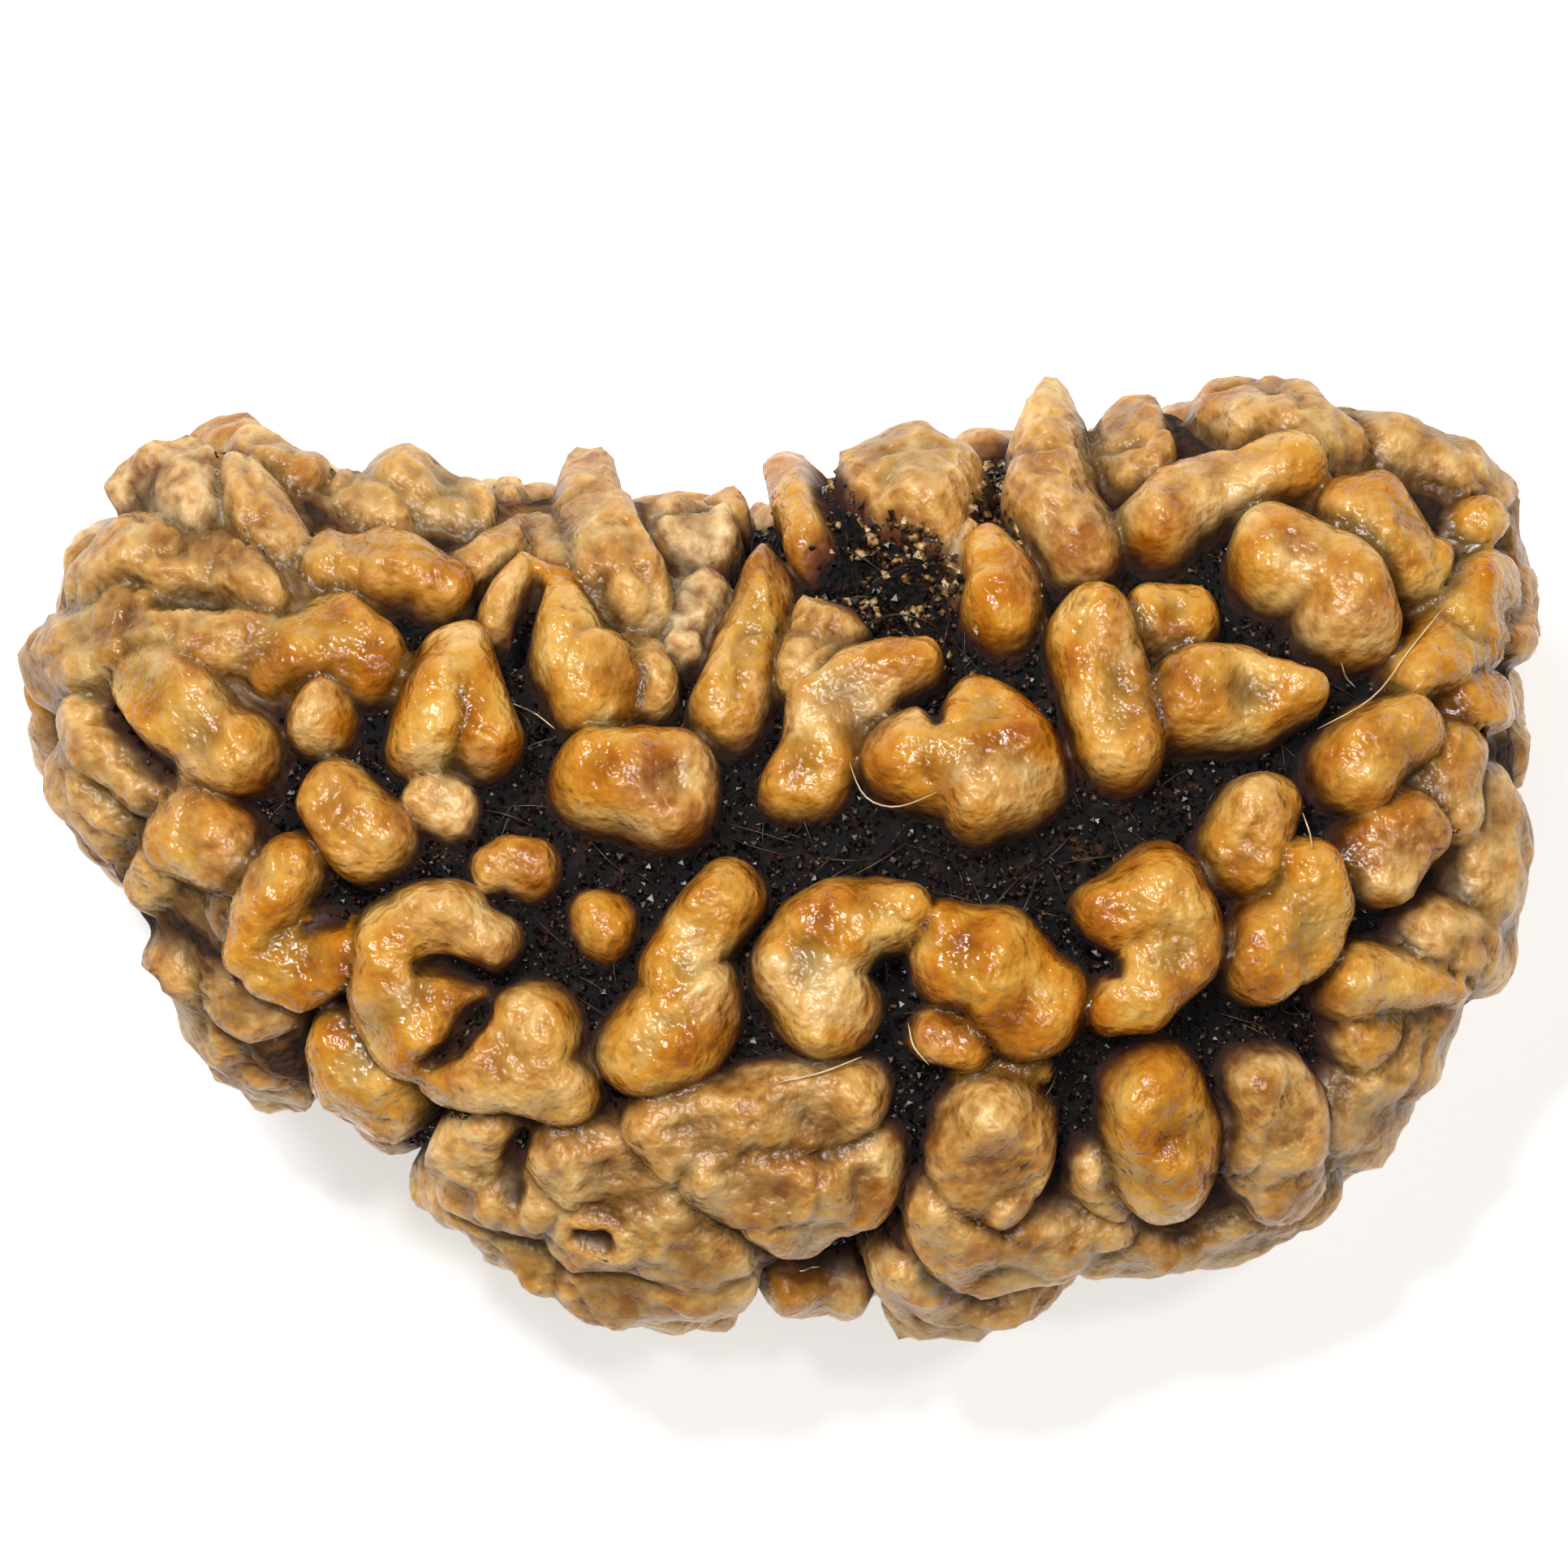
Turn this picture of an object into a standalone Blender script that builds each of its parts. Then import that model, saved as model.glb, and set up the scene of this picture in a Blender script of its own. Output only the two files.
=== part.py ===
"""One-faced half-moon rudraksha bead: a dried, knobbly fruit stone lying on its broad side.

The bead grew as one piece. A smooth bean-shaped body carries rounded knobs with steep sides
and narrow grooves between them. Seen from above, +X runs along the bead, +Y points to its
hollow edge and +Z is up. The origin is the middle of the ground under it.
"""

import math

import bmesh
import bpy
import numpy as np

MM = 0.001

# Body under the knobs, in millimetres, at even stations from the left end to the right end
BODY_HALF_LENGTH = 12.0
BODY_MIDDLE_Y = (2.8, 2.8, 1.7, 1.2, 0.5, -0.3, -0.7, -0.9, -0.8, -0.3, -0.4, 0.0, 0.3, 0.4, 0.9, 1.6, 2.4)
BODY_HALF_WIDTH = (3.2, 4.3, 5.3, 5.0, 5.5, 6.0, 6.5, 6.5, 6.3, 6.7, 6.9, 6.8, 6.7, 6.7, 6.8, 6.5, 6.0)
BODY_HALF_THICKNESS = (3.6, 4.0, 4.3, 4.5, 4.7, 4.8, 4.8, 4.8, 4.8, 4.8, 4.8, 4.8, 4.8, 4.7, 4.5, 4.2, 3.9)
END_BLUNTNESS = 4.0
SECTION_BLUNTNESS = 2.3
FRONT_LEAN = 0.22
BACK_LEAN = 0.06

# Knob form, in millimetres
KNOB_DOME = 3.0
KNOB_SPREAD = 1.10
KNOB_SIDE_FALL = 1.6
KNOB_MERGE = 0.14
ROOT_FLARE = 0.34
TIP_SHARE = 0.75
PATH_STEP = 0.7
KNOB_REACH = 2.2

# Slow wander of the surface that keeps the knobs from being regular: reach, wave lengths and turns
WANDER = 0.045
WANDER_WAVES = (2.1, 2.9, 3.7)
WANDER_TURN = 1.3
WANDER_MIX = 0.7

# Slow swell of the knobs' height: its share of the height and its turn a millimetre on each axis
SWELL_SHARE = 0.10
SWELL_TURNS = (3.1, 2.7, 1.9)

# Knobs that cover the back and the flanks by rule, lower where they root nearer the rim
SCATTER_SEED = 11
SCATTER_GAP = 0.10
SCATTER_TURN = 0.15
SCATTER_RIM = -0.35
SCATTER_RIM_SHARE = 0.65
SCATTER_TRIES = 5000
SCATTER_KINDS = (
    # share of tries, path points, step, smallest radius, largest radius, height
    (0.30, 3, 0.90, 0.72, 0.92, 1.15),
    (0.35, 2, 0.85, 0.60, 0.82, 1.05),
    (0.35, 1, 0.00, 0.42, 0.66, 0.85),
)

LATTICE_COUNT = 24000
NORMAL_STEP = 0.004
ROOT_TURN = -0.05
ROOT_UP_PULL = 0.002
SPHERE_SUBDIVISIONS = 7
FACE_BUDGET = 11300
FOOT_DEPTH = 0.36
CUTTER_SIZE = 40.0

# Knobs of the front: name, height, then places along the knob as (x, y, radius), millimetres
KNOBS = (
    # left end
    ("shoulder", 1.20, ((-11.7, 4.7, 0.70), (-11.0, 5.2, 0.72), (-10.2, 5.2, 0.75),
        (-9.2, 4.8, 0.58), (-8.5, 4.4, 0.34))),
    ("brow", 1.20, ((-12.6, 3.4, 0.85), (-11.3, 3.8, 0.95), (-10.1, 3.7, 0.86), (-8.8, 3.6, 0.66))),
    ("cheek", 1.35, ((-10.6, 3.0, 0.74), (-9.9, 2.3, 0.86), (-9.2, 1.8, 0.78))),
    ("jaw", 1.15, ((-12.1, 2.4, 0.55), (-11.6, 1.9, 0.55), (-10.7, 1.3, 0.55))),
    ("nub", 1.20, ((-10.1, 0.5, 0.78), (-9.6, 0.2, 0.74))),
    ("left edge", 1.10, ((-12.1, 1.4, 0.65), (-11.5, 0.6, 0.75))),
    ("lobe", 1.05, ((-10.6, -0.4, 0.66),)),
    ("sliver", 0.85, ((-9.5, -0.8, 0.45), (-9.1, -1.3, 0.35))),
    # lower left
    ("upper lip", 1.30, ((-8.2, -0.2, 0.60), (-8.6, -0.9, 0.70), (-8.7, -1.5, 0.60))),
    ("lower lip", 1.30, ((-8.5, -1.8, 0.62), (-7.9, -1.8, 0.66), (-7.5, -1.6, 0.52))),
    ("side fold", 1.10, ((-10.3, -1.9, 0.75), (-9.9, -2.9, 0.80))),
    ("side bump", 1.10, ((-9.1, -2.6, 0.75),)),
    ("side foot", 1.10, ((-9.4, -3.6, 0.70), (-8.5, -4.1, 0.75))),
    ("shell", 1.30, ((-7.5, -3.4, 0.84), (-7.0, -4.1, 0.95))),
    ("claw top", 1.35, ((-4.8, -1.4, 0.46), (-5.5, -1.0, 0.66), (-6.3, -1.1, 0.74))),
    ("claw back", 1.40, ((-6.4, -1.4, 0.74), (-6.4, -2.4, 0.84), (-5.9, -3.2, 0.78))),
    ("claw tongue", 1.30, ((-6.0, -2.3, 0.74), (-5.5, -2.5, 0.56))),
    ("claw base", 1.40, ((-5.4, -3.6, 0.75), (-4.4, -3.1, 0.92), (-3.8, -3.9, 0.66))),
    # upper left
    ("olive", 1.15, ((-7.8, 2.4, 0.62),)),
    ("bridge", 1.25, ((-8.5, 3.5, 0.66), (-7.5, 3.9, 0.85), (-6.8, 3.4, 0.62))),
    ("saddle", 1.30, ((-7.6, 5.0, 0.66), (-6.6, 5.0, 0.66), (-5.6, 4.6, 0.42))),
    ("heart left", 1.40, ((-5.4, 3.5, 0.70), (-5.8, 2.2, 0.62))),
    ("heart right", 1.40, ((-5.4, 3.5, 0.70), (-4.9, 2.2, 0.68))),
    ("fin", 1.30, ((-4.8, 4.2, 0.38), (-4.3, 4.7, 0.42), (-3.7, 4.5, 0.50))),
    ("fin body", 1.40, ((-3.7, 4.5, 0.50), (-3.5, 3.7, 0.72), (-3.0, 3.1, 0.80))),
    ("fin wing", 1.05, ((-2.4, 3.5, 0.50), (-2.0, 2.8, 0.42))),
    # middle
    ("bean", 1.35, ((-7.5, 1.0, 0.66), (-6.9, 0.3, 0.70))),
    ("pea", 1.00, ((-5.8, 1.0, 0.52), (-5.5, 0.9, 0.52))),
    ("seed", 0.95, ((-4.9, 0.0, 0.40), (-4.2, 0.0, 0.52))),
    ("bud", 0.85, ((-2.9, -1.1, 0.54),)),
    ("egg", 1.50, ((-3.0, 1.5, 0.86), (-2.0, 1.3, 0.98))),
    ("kidney arm", 1.45, ((-0.8, -0.5, 0.62), (-1.3, -1.3, 0.62), (-1.7, -1.9, 0.66))),
    ("kidney", 1.45, ((-1.5, -2.5, 0.95), (-2.0, -3.1, 0.95))),
    ("hook", 1.40, ((2.0, -0.9, 0.52), (1.1, -1.0, 0.70), (0.5, -1.7, 0.84), (0.9, -2.6, 0.82))),
    ("calf", 1.40, ((2.9, -1.5, 0.78), (3.7, -1.5, 0.82), (4.2, -2.3, 0.88))),
    ("calf toe", 0.95, ((2.6, -2.9, 0.48), (3.2, -3.0, 0.50))),
    ("ear", 1.45, ((5.6, -0.8, 0.62), (6.3, -0.6, 0.86), (6.6, -1.3, 0.86),
        (6.3, -2.1, 0.76), (5.6, -2.6, 0.45))),
    ("slim twin", 1.30, ((8.1, 0.9, 0.62), (7.8, 0.1, 0.74))),
    ("broad twin", 1.35, ((9.0, -0.3, 0.62), (8.9, -1.2, 0.82), (8.2, -1.7, 0.62))),
    ("low toe", 1.25, ((10.8, 0.6, 0.60), (10.3, -0.1, 0.72))),
    ("high toe", 1.15, ((11.5, 1.8, 0.60), (11.4, 0.9, 0.60))),
    ("coffee bean", 1.40, ((10.7, 2.2, 0.70), (9.8, 1.6, 0.74))),
    # right end
    ("right cheek", 1.25, ((12.5, 0.9, 0.74), (12.4, 0.0, 0.95), (12.4, -0.9, 1.05),
        (12.3, -1.7, 0.95), (11.4, -1.4, 0.66))),
    ("low ridge", 1.15, ((10.1, -2.1, 0.72), (10.8, -2.2, 0.66), (11.4, -2.3, 0.40))),
    ("low ridge foot", 1.05, ((10.3, -2.9, 0.66),)),
    ("low chin", 1.15, ((11.3, -2.7, 0.66), (10.9, -3.2, 0.85), (10.4, -4.1, 0.92), (9.7, -5.0, 0.92))),
    ("chip", 0.75, ((9.6, -3.9, 0.36),)),
    ("thumb", 1.30, ((8.5, -3.9, 0.72), (8.5, -4.9, 0.85), (8.7, -5.6, 0.76))),
    ("right belly", 1.15, ((5.6, -6.8, 0.75), (6.8, -6.7, 0.85), (8.0, -6.4, 0.88), (9.0, -5.7, 0.80))),
    ("molar", 1.40, ((6.4, -4.2, 0.86), (6.4, -5.3, 1.02))),
    ("molar root", 0.90, ((5.3, -5.3, 0.42), (5.7, -5.9, 0.42))),
    ("plum", 1.35, ((3.7, -4.6, 0.95), (3.6, -5.1, 1.00))),
    ("shelf", 0.45, ((3.2, -3.7, 0.36), (4.2, -3.6, 0.36))),
    # lower edge
    ("belly", 1.15, ((2.7, -6.3, 0.75), (3.8, -6.9, 0.80), (5.3, -6.5, 0.85))),
    ("keel", 1.10, ((1.9, -7.0, 0.60), (2.6, -7.8, 0.66), (3.6, -7.8, 0.66), (4.6, -7.4, 0.60))),
    ("button", 1.05, ((0.3, -7.5, 0.56), (1.2, -7.6, 0.62))),
    ("loaf crest", 1.30, ((-1.9, -4.6, 0.84), (-0.3, -4.4, 0.84), (1.3, -4.1, 0.66))),
    ("loaf", 1.35, ((-1.1, -5.2, 0.88), (0.4, -5.8, 0.98), (1.5, -5.4, 0.76))),
    ("hull fold", 1.20, ((-5.2, -4.8, 0.70), (-5.2, -5.5, 0.74), (-4.2, -5.9, 0.70))),
    ("hull crest", 1.15, ((-3.6, -5.1, 0.75), (-2.5, -5.4, 0.75))),
    ("hull", 1.20, ((-3.4, -6.3, 0.80), (-2.2, -6.2, 0.95), (-1.0, -6.7, 0.85))),
    ("hull foot", 1.20, ((-3.0, -7.3, 0.90), (-1.8, -7.5, 0.95), (-0.9, -7.2, 0.70))),
    ("hull rim", 1.10, ((-5.8, -5.8, 0.72), (-4.9, -6.5, 0.72), (-4.1, -7.0, 0.70))),
    # hollow edge, behind the front knobs
    ("peak", 1.32, ((-3.3, 6.8, 0.36), (-3.2, 5.9, 0.74), (-2.8, 5.1, 0.90), (-2.2, 4.5, 0.62))),
    ("peak flank", 1.10, ((-4.0, 5.6, 0.62), (-3.6, 5.0, 0.72))),
    ("peak root", 1.05, ((-4.2, 5.6, 0.55), (-5.3, 4.9, 0.45))),
    ("left crag", 1.25, ((-6.5, 6.5, 0.85), (-5.4, 6.2, 0.75))),
    ("left rim", 1.05, ((-7.3, 6.3, 0.75), (-6.6, 6.0, 0.70))),
    ("rim knuckle", 1.00, ((-4.6, 6.2, 0.50),)),
    ("horn", 1.25, ((-9.2, 6.5, 0.52), (-8.9, 5.9, 0.62), (-8.4, 5.3, 0.50))),
    ("corner crust", 1.30, ((-10.8, 6.6, 0.60), (-10.2, 6.6, 0.72), (-10.0, 5.9, 0.50))),
    ("corner roll", 1.15, ((-9.0, 7.0, 0.52), (-8.1, 6.6, 0.60))),
    ("crag", 1.05, ((-1.5, 5.7, 0.84),)),
    ("crag tip", 1.00, ((-0.9, 6.1, 0.50),)),
    ("crag foot", 0.95, ((-1.3, 4.5, 0.60), (-1.6, 3.8, 0.45))),
    ("tooth", 1.30, ((-0.1, 7.0, 0.34), (0.1, 6.2, 0.58), (0.3, 5.5, 0.52))),
    ("blade", 1.35, ((-0.2, 4.8, 0.64), (-0.5, 3.8, 0.78), (-0.8, 2.7, 0.72))),
    ("blade wing", 1.15, ((0.6, 4.1, 0.66), (0.3, 3.2, 0.62))),
    ("dome", 1.32, ((1.6, 6.7, 0.80), (2.2, 6.9, 0.95), (2.8, 6.7, 0.80), (2.5, 6.1, 0.85))),
    ("dome foot", 0.80, ((3.1, 5.3, 0.45), (3.0, 4.6, 0.36))),
    ("cap", 1.25, ((3.6, 5.3, 0.56), (3.8, 4.5, 0.72))),
    ("column", 1.30, ((4.7, 7.8, 0.36), (4.7, 7.1, 0.74), (4.6, 6.3, 0.86), (5.1, 5.5, 0.70))),
    ("stub", 1.25, ((6.0, 7.5, 0.62), (6.1, 6.8, 0.64))),
    ("eyebrow", 1.35, ((6.4, 5.7, 0.60), (7.4, 6.4, 0.60), (8.8, 6.7, 0.52))),
    ("boulder", 1.50, ((8.4, 5.2, 0.84), (9.4, 5.0, 0.76), (9.8, 4.1, 0.85))),
    ("small boulder", 1.40, ((10.2, 6.0, 0.70), (11.0, 5.1, 0.70))),
    ("grain", 1.25, ((12.0, 5.8, 0.44),)),
    ("right rim", 1.42, ((7.7, 7.8, 0.84), (8.6, 7.7, 0.85), (9.4, 7.2, 0.65))),
    ("right corner", 1.20, ((9.9, 7.3, 0.72), (11.0, 7.0, 0.74), (12.1, 6.4, 0.66))),
    ("end rim", 1.15, ((12.6, 6.0, 0.72), (12.8, 4.9, 0.70), (12.6, 3.8, 0.55))),
    ("low end rim", 0.90, ((12.7, 2.9, 0.62), (12.8, 1.8, 0.66))),
    # right of the middle
    ("pillar", 1.45, ((5.4, 4.0, 0.74), (5.4, 3.0, 0.72), (5.8, 1.9, 0.78))),
    ("bun", 1.20, ((6.5, 4.2, 0.58), (7.1, 4.2, 0.60))),
    ("paw", 1.40, ((7.1, 2.8, 0.86), (8.0, 2.8, 0.76), (8.9, 2.7, 0.42))),
    ("arch", 1.25, ((0.4, 1.5, 0.68), (0.7, 2.5, 0.66), (1.5, 3.2, 0.56), (2.5, 3.4, 0.42))),
    ("big tooth", 1.50, ((2.1, 1.8, 0.78), (3.0, 1.6, 0.85), (3.6, 2.3, 0.88),
        (3.9, 1.4, 0.92), (3.3, 1.2, 0.75))),
    ("end fold", 1.20, ((12.3, 4.6, 0.78), (11.7, 3.8, 0.78), (10.9, 3.1, 0.54))),
    ("end bump", 1.10, ((12.0, 2.7, 0.70),)),
)

# Broad low mounds that carry several knobs, with places as above
MOUNDS = (
    ("left mass", 0.95, ((-11.6, 3.9, 1.60), (-9.6, 3.9, 1.80), (-7.8, 4.4, 1.20))),
    ("upper left mass", 0.80, ((-10.0, 5.8, 1.40), (-7.0, 5.8, 1.40),
        (-4.6, 5.7, 1.20), (-2.6, 5.4, 1.10))),
    ("lower left mass", 0.75, ((-11.2, 0.8, 1.50), (-9.7, -1.9, 1.40), (-8.6, -3.5, 1.10))),
    ("hull mass", 0.80, ((-4.8, -5.6, 1.30), (-2.6, -6.4, 1.60), (-0.6, -6.4, 1.00))),
    ("belly mass", 0.75, ((2.6, -6.9, 1.10), (5.0, -6.4, 1.20), (8.4, -6.0, 1.20))),
    ("right mass", 0.70, ((12.1, 5.6, 1.10), (12.2, 3.2, 1.10), (12.2, -0.6, 1.30), (11.0, -3.4, 1.00))),
    ("upper right mass", 0.80, ((6.6, 7.2, 1.00), (8.6, 7.2, 1.20), (11.2, 6.6, 1.30))),
)

# Clefts and hollows sunk into the knobs and the body: name, depth, places as above
CLEFTS = (
    ("under shoulder", 0.25, ((-10.4, 4.3, 0.14), (-9.5, 4.3, 0.16))),
    ("lip cleft", 0.35, ((-7.4, -1.0, 0.14), (-8.0, -1.1, 0.10))),
    ("claw notch", 0.45, ((-5.9, -1.7, 0.12), (-5.1, -1.9, 0.26))),
    ("claw crack", 0.60, ((-5.7, -3.2, 0.14), (-5.0, -2.6, 0.32))),
    ("saddle slit", 0.25, ((-6.6, 4.2, 0.16), (-6.2, 4.2, 0.18))),
    ("jaw slit", 0.50, ((-11.3, 2.4, 0.20), (-10.3, 1.5, 0.26))),
    ("hull notch", 0.40, ((-4.5, -4.8, 0.22), (-4.4, -5.5, 0.16))),
    ("hull pit", 0.42, ((-3.3, -6.0, 0.16), (-3.0, -6.1, 0.20))),
    ("tooth gap", 0.55, ((0.8, 6.9, 0.18), (1.0, 6.2, 0.28), (1.1, 5.6, 0.30))),
    ("fin slit", 0.50, ((-4.3, 3.8, 0.24), (-4.1, 4.3, 0.20))),
    ("ear notch", 0.50, ((5.2, -1.6, 0.30), (5.7, -1.7, 0.22))),
    ("calf notch", 0.50, ((4.4, -1.0, 0.20), (4.9, -1.3, 0.36))),
    ("hook hollow", 0.45, ((1.7, -1.8, 0.22), (2.1, -1.9, 0.30))),
    ("tooth notch", 0.40, ((2.7, 2.6, 0.26), (2.7, 2.2, 0.20))),
    ("deep hollow", 0.80, ((1.4, 4.9, 0.90), (2.4, 4.6, 0.80))),
)

# The long line of the single face, which the knobs of the back leave open: (x, y) in plan
BACK_LINE = ((-9.6, 2.2), (-6.0, 0.4), (-2.0, -0.9), (2.0, -1.2), (6.0, -0.2), (10.0, 1.8))
BACK_LINE_RADIUS = 0.25


def unit(vectors):
    """Vectors scaled to length one."""
    return vectors / np.linalg.norm(vectors, axis=1, keepdims=True)


def along(place, values):
    """Smooth curve through evenly spaced values, read at places from -1 to 1."""
    values = np.asarray(values, float)
    spot = (place + 1) / 2 * (len(values) - 1)
    index = np.clip(np.floor(spot).astype(int), 0, len(values) - 2)
    part = spot - index
    slopes = np.gradient(values)
    start = values[index] * (1 + 2 * part) * (1 - part) ** 2
    end = values[index + 1] * part ** 2 * (3 - 2 * part)
    leave = slopes[index] * part * (1 - part) ** 2
    arrive = slopes[index + 1] * part ** 2 * (part - 1)
    return start + end + leave + arrive


def body_points(directions):
    """Smooth body: a rounded section carried along a line that bends in Y, closed at both ends.

    A direction's x gives the station, and its y and z the place round the section there.
    """
    station, side, rise = directions.T
    ring = np.maximum(np.hypot(side, rise), 1e-9)
    side = side / ring
    rise = rise / ring
    power = SECTION_BLUNTNESS
    round_off = (np.abs(side) ** power + np.abs(rise) ** power) ** (-1 / power)
    side = side * round_off
    rise = rise * round_off
    station = np.clip(station, -1, 1)
    swell = np.maximum(1 - np.abs(station) ** END_BLUNTNESS, 0) ** (1 / END_BLUNTNESS)
    lean = np.where(rise > 0, FRONT_LEAN, BACK_LEAN)
    x = BODY_HALF_LENGTH * station
    y = along(station, BODY_MIDDLE_Y) + along(station, BODY_HALF_WIDTH) * swell * side
    z = along(station, BODY_HALF_THICKNESS) * swell * rise * (1 - lean * side)
    return np.column_stack((x, y, z))


def body_normals(directions):
    """Outward normals of the body, from its points a small turn away on either side."""
    helper = np.where(np.abs(directions[:, 2:]) < 0.8, [[0.0, 0.0, 1.0]], [[0.0, 1.0, 0.0]])
    first = unit(np.cross(helper, directions))
    second = np.cross(directions, first)
    edges = []
    for tangent in (first, second):
        ahead = body_points(unit(directions + NORMAL_STEP * tangent))
        behind = body_points(unit(directions - NORMAL_STEP * tangent))
        edges.append(ahead - behind)
    return unit(np.cross(edges[0], edges[1]))


def lattice_directions(count):
    """Even spread of directions over a ball, each a golden angle on from the last."""
    index = np.arange(count) + 0.5
    height = 1 - 2 * index / count
    ring = np.sqrt(1 - height ** 2)
    turn = index * math.pi * (3 - math.sqrt(5))
    return np.column_stack((ring * np.cos(turn), ring * np.sin(turn), height))


class Lattice:
    """Places on the body where a knob can root."""

    def __init__(self):
        directions = lattice_directions(LATTICE_COUNT)
        self.points = body_points(directions)
        self.normals = body_normals(directions)

    def root_under(self, x, y, lift, facing):
        """Place whose point, lifted off the body, is nearest to (x, y) seen from above or below."""
        tips = self.points + self.normals * lift
        gap = (tips[:, 0] - x) ** 2 + (tips[:, 1] - y) ** 2
        gap = gap - ROOT_UP_PULL * facing * tips[:, 2]
        gap = np.where(facing * self.normals[:, 2] > ROOT_TURN, gap, np.inf)
        return int(np.argmin(gap))

    def nearest(self, point):
        """Place nearest to a point in space."""
        return int(np.argmin(np.sum((self.points - point) ** 2, axis=1)))


def dense_path(places):
    """Path with extra places, so that no step is longer than PATH_STEP."""
    places = np.asarray(places, float)
    dense = [places[0]]
    for start, end in zip(places[:-1], places[1:]):
        length = np.hypot(end[0] - start[0], end[1] - start[1])
        count = max(1, math.ceil(length / PATH_STEP))
        for step in range(1, count + 1):
            dense.append(start + (end - start) * step / count)
    return np.array(dense)


def rooted(lattice, places, height, facing=1):
    """Path on the body for places read in plan: its points and their radii."""
    dense = dense_path(places)
    lift = TIP_SHARE * height
    roots = [lattice.root_under(x, y, lift, facing) for x, y, radius in dense]
    return lattice.points[roots], dense[:, 2] * KNOB_SPREAD


def scattered(lattice, taken):
    """Knobs for the back and the flanks: tries at random places, kept where there is room."""
    rng = np.random.default_rng(SCATTER_SEED)
    taken_points = np.vstack([points for points, radii in taken])
    taken_radii = np.concatenate([radii for points, radii in taken])
    hidden = np.flatnonzero(lattice.normals[:, 2] < SCATTER_TURN)
    found = []
    for share, count, step, small, large, height in SCATTER_KINDS:
        for attempt in range(int(SCATTER_TRIES * share)):
            spot = rng.choice(hidden)
            heading = rng.uniform(0, 2 * math.pi)
            bend = rng.uniform(0.3, 1.0) * rng.choice((-1, 1))
            radius = rng.uniform(small, large)
            tall = height * rng.uniform(0.85, 1.1)
            if lattice.normals[spot, 2] > SCATTER_RIM:
                tall = tall * SCATTER_RIM_SHARE
            spots = [spot]
            for link in range(count - 1):
                normal = lattice.normals[spot]
                east = np.cross((0.0, 1.0, 0.0), normal)
                east = east / np.linalg.norm(east)
                north = np.cross(normal, east)
                ahead = math.cos(heading) * east + math.sin(heading) * north
                spot = lattice.nearest(lattice.points[spot] + step * ahead)
                spots.append(spot)
                heading = heading + bend
            points = lattice.points[spots]
            radii = radius * np.linspace(1.0, 0.85, count)
            gaps = np.linalg.norm(points[:, None] - taken_points[None], axis=2)
            room = gaps - radii[:, None] - taken_radii[None]
            if room.min() < SCATTER_GAP:
                continue
            taken_points = np.vstack((taken_points, points))
            taken_radii = np.concatenate((taken_radii, radii))
            found.append((tall, points, radii))
    return found


def distance_share(points, path, radii):
    """Distance from a path as a share of the path's radius there: 1 on the rim."""
    if len(path) == 1:
        return np.linalg.norm(points - path[0], axis=1) / radii[0]
    share = np.full(len(points), np.inf)
    for start, end, first, last in zip(path[:-1], path[1:], radii[:-1], radii[1:]):
        run = end - start
        length = max(float(run @ run), 1e-12)
        part = np.clip((points - start) @ run / length, 0, 1)
        gap = np.linalg.norm(points - start - part[:, None] * run, axis=1)
        share = np.minimum(share, gap / (first + part * (last - first)))
    return share


def wander(points):
    """Points shifted by a few slow sine waves across the three axes."""
    shift = np.zeros_like(points)
    for turn, wave in enumerate(WANDER_WAVES):
        phase = 2 * math.pi * np.roll(points, 1 + turn, axis=1) / wave
        shift += np.sin(phase + WANDER_TURN * turn + WANDER_MIX * np.roll(phase, 1, axis=1))
    return points + WANDER * shift


def soft_max(first, second, blend):
    """Larger of two heights, with a fillet where they meet."""
    near = np.maximum(blend - np.abs(first - second), 0)
    return np.maximum(first, second) + near ** 2 / (4 * blend)


def relief(points, knobs, clefts):
    """Height over the body: pillow-shaped knobs joined by fillets, less the clefts."""
    x, y, z = (points * SWELL_TURNS).T
    swell = 1 + SWELL_SHARE * np.sin(x) * np.sin(y + z)
    points = wander(points)
    height = np.full(len(points), -1.0)
    for tall, path, radii in knobs:
        path = wander(path)
        middle = path.mean(axis=0)
        reach = np.linalg.norm(path - middle, axis=1).max() + KNOB_REACH * radii.max()
        near = np.flatnonzero(np.sum((points - middle) ** 2, axis=1) < reach ** 2)
        share = distance_share(points[near], path, radii)
        inside = np.sqrt(np.maximum(1 - share ** KNOB_DOME, 0))
        outside = KNOB_SIDE_FALL * np.maximum(share - 1, 0)
        height[near] = soft_max(height[near], tall * swell[near] * (inside - outside), KNOB_MERGE)
    height = soft_max(height, np.zeros(len(points)), ROOT_FLARE)
    for deep, path, radii in clefts:
        share = distance_share(points, wander(path), radii)
        height = height - deep * np.maximum(1 - share ** 2, 0)
    return height


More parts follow.
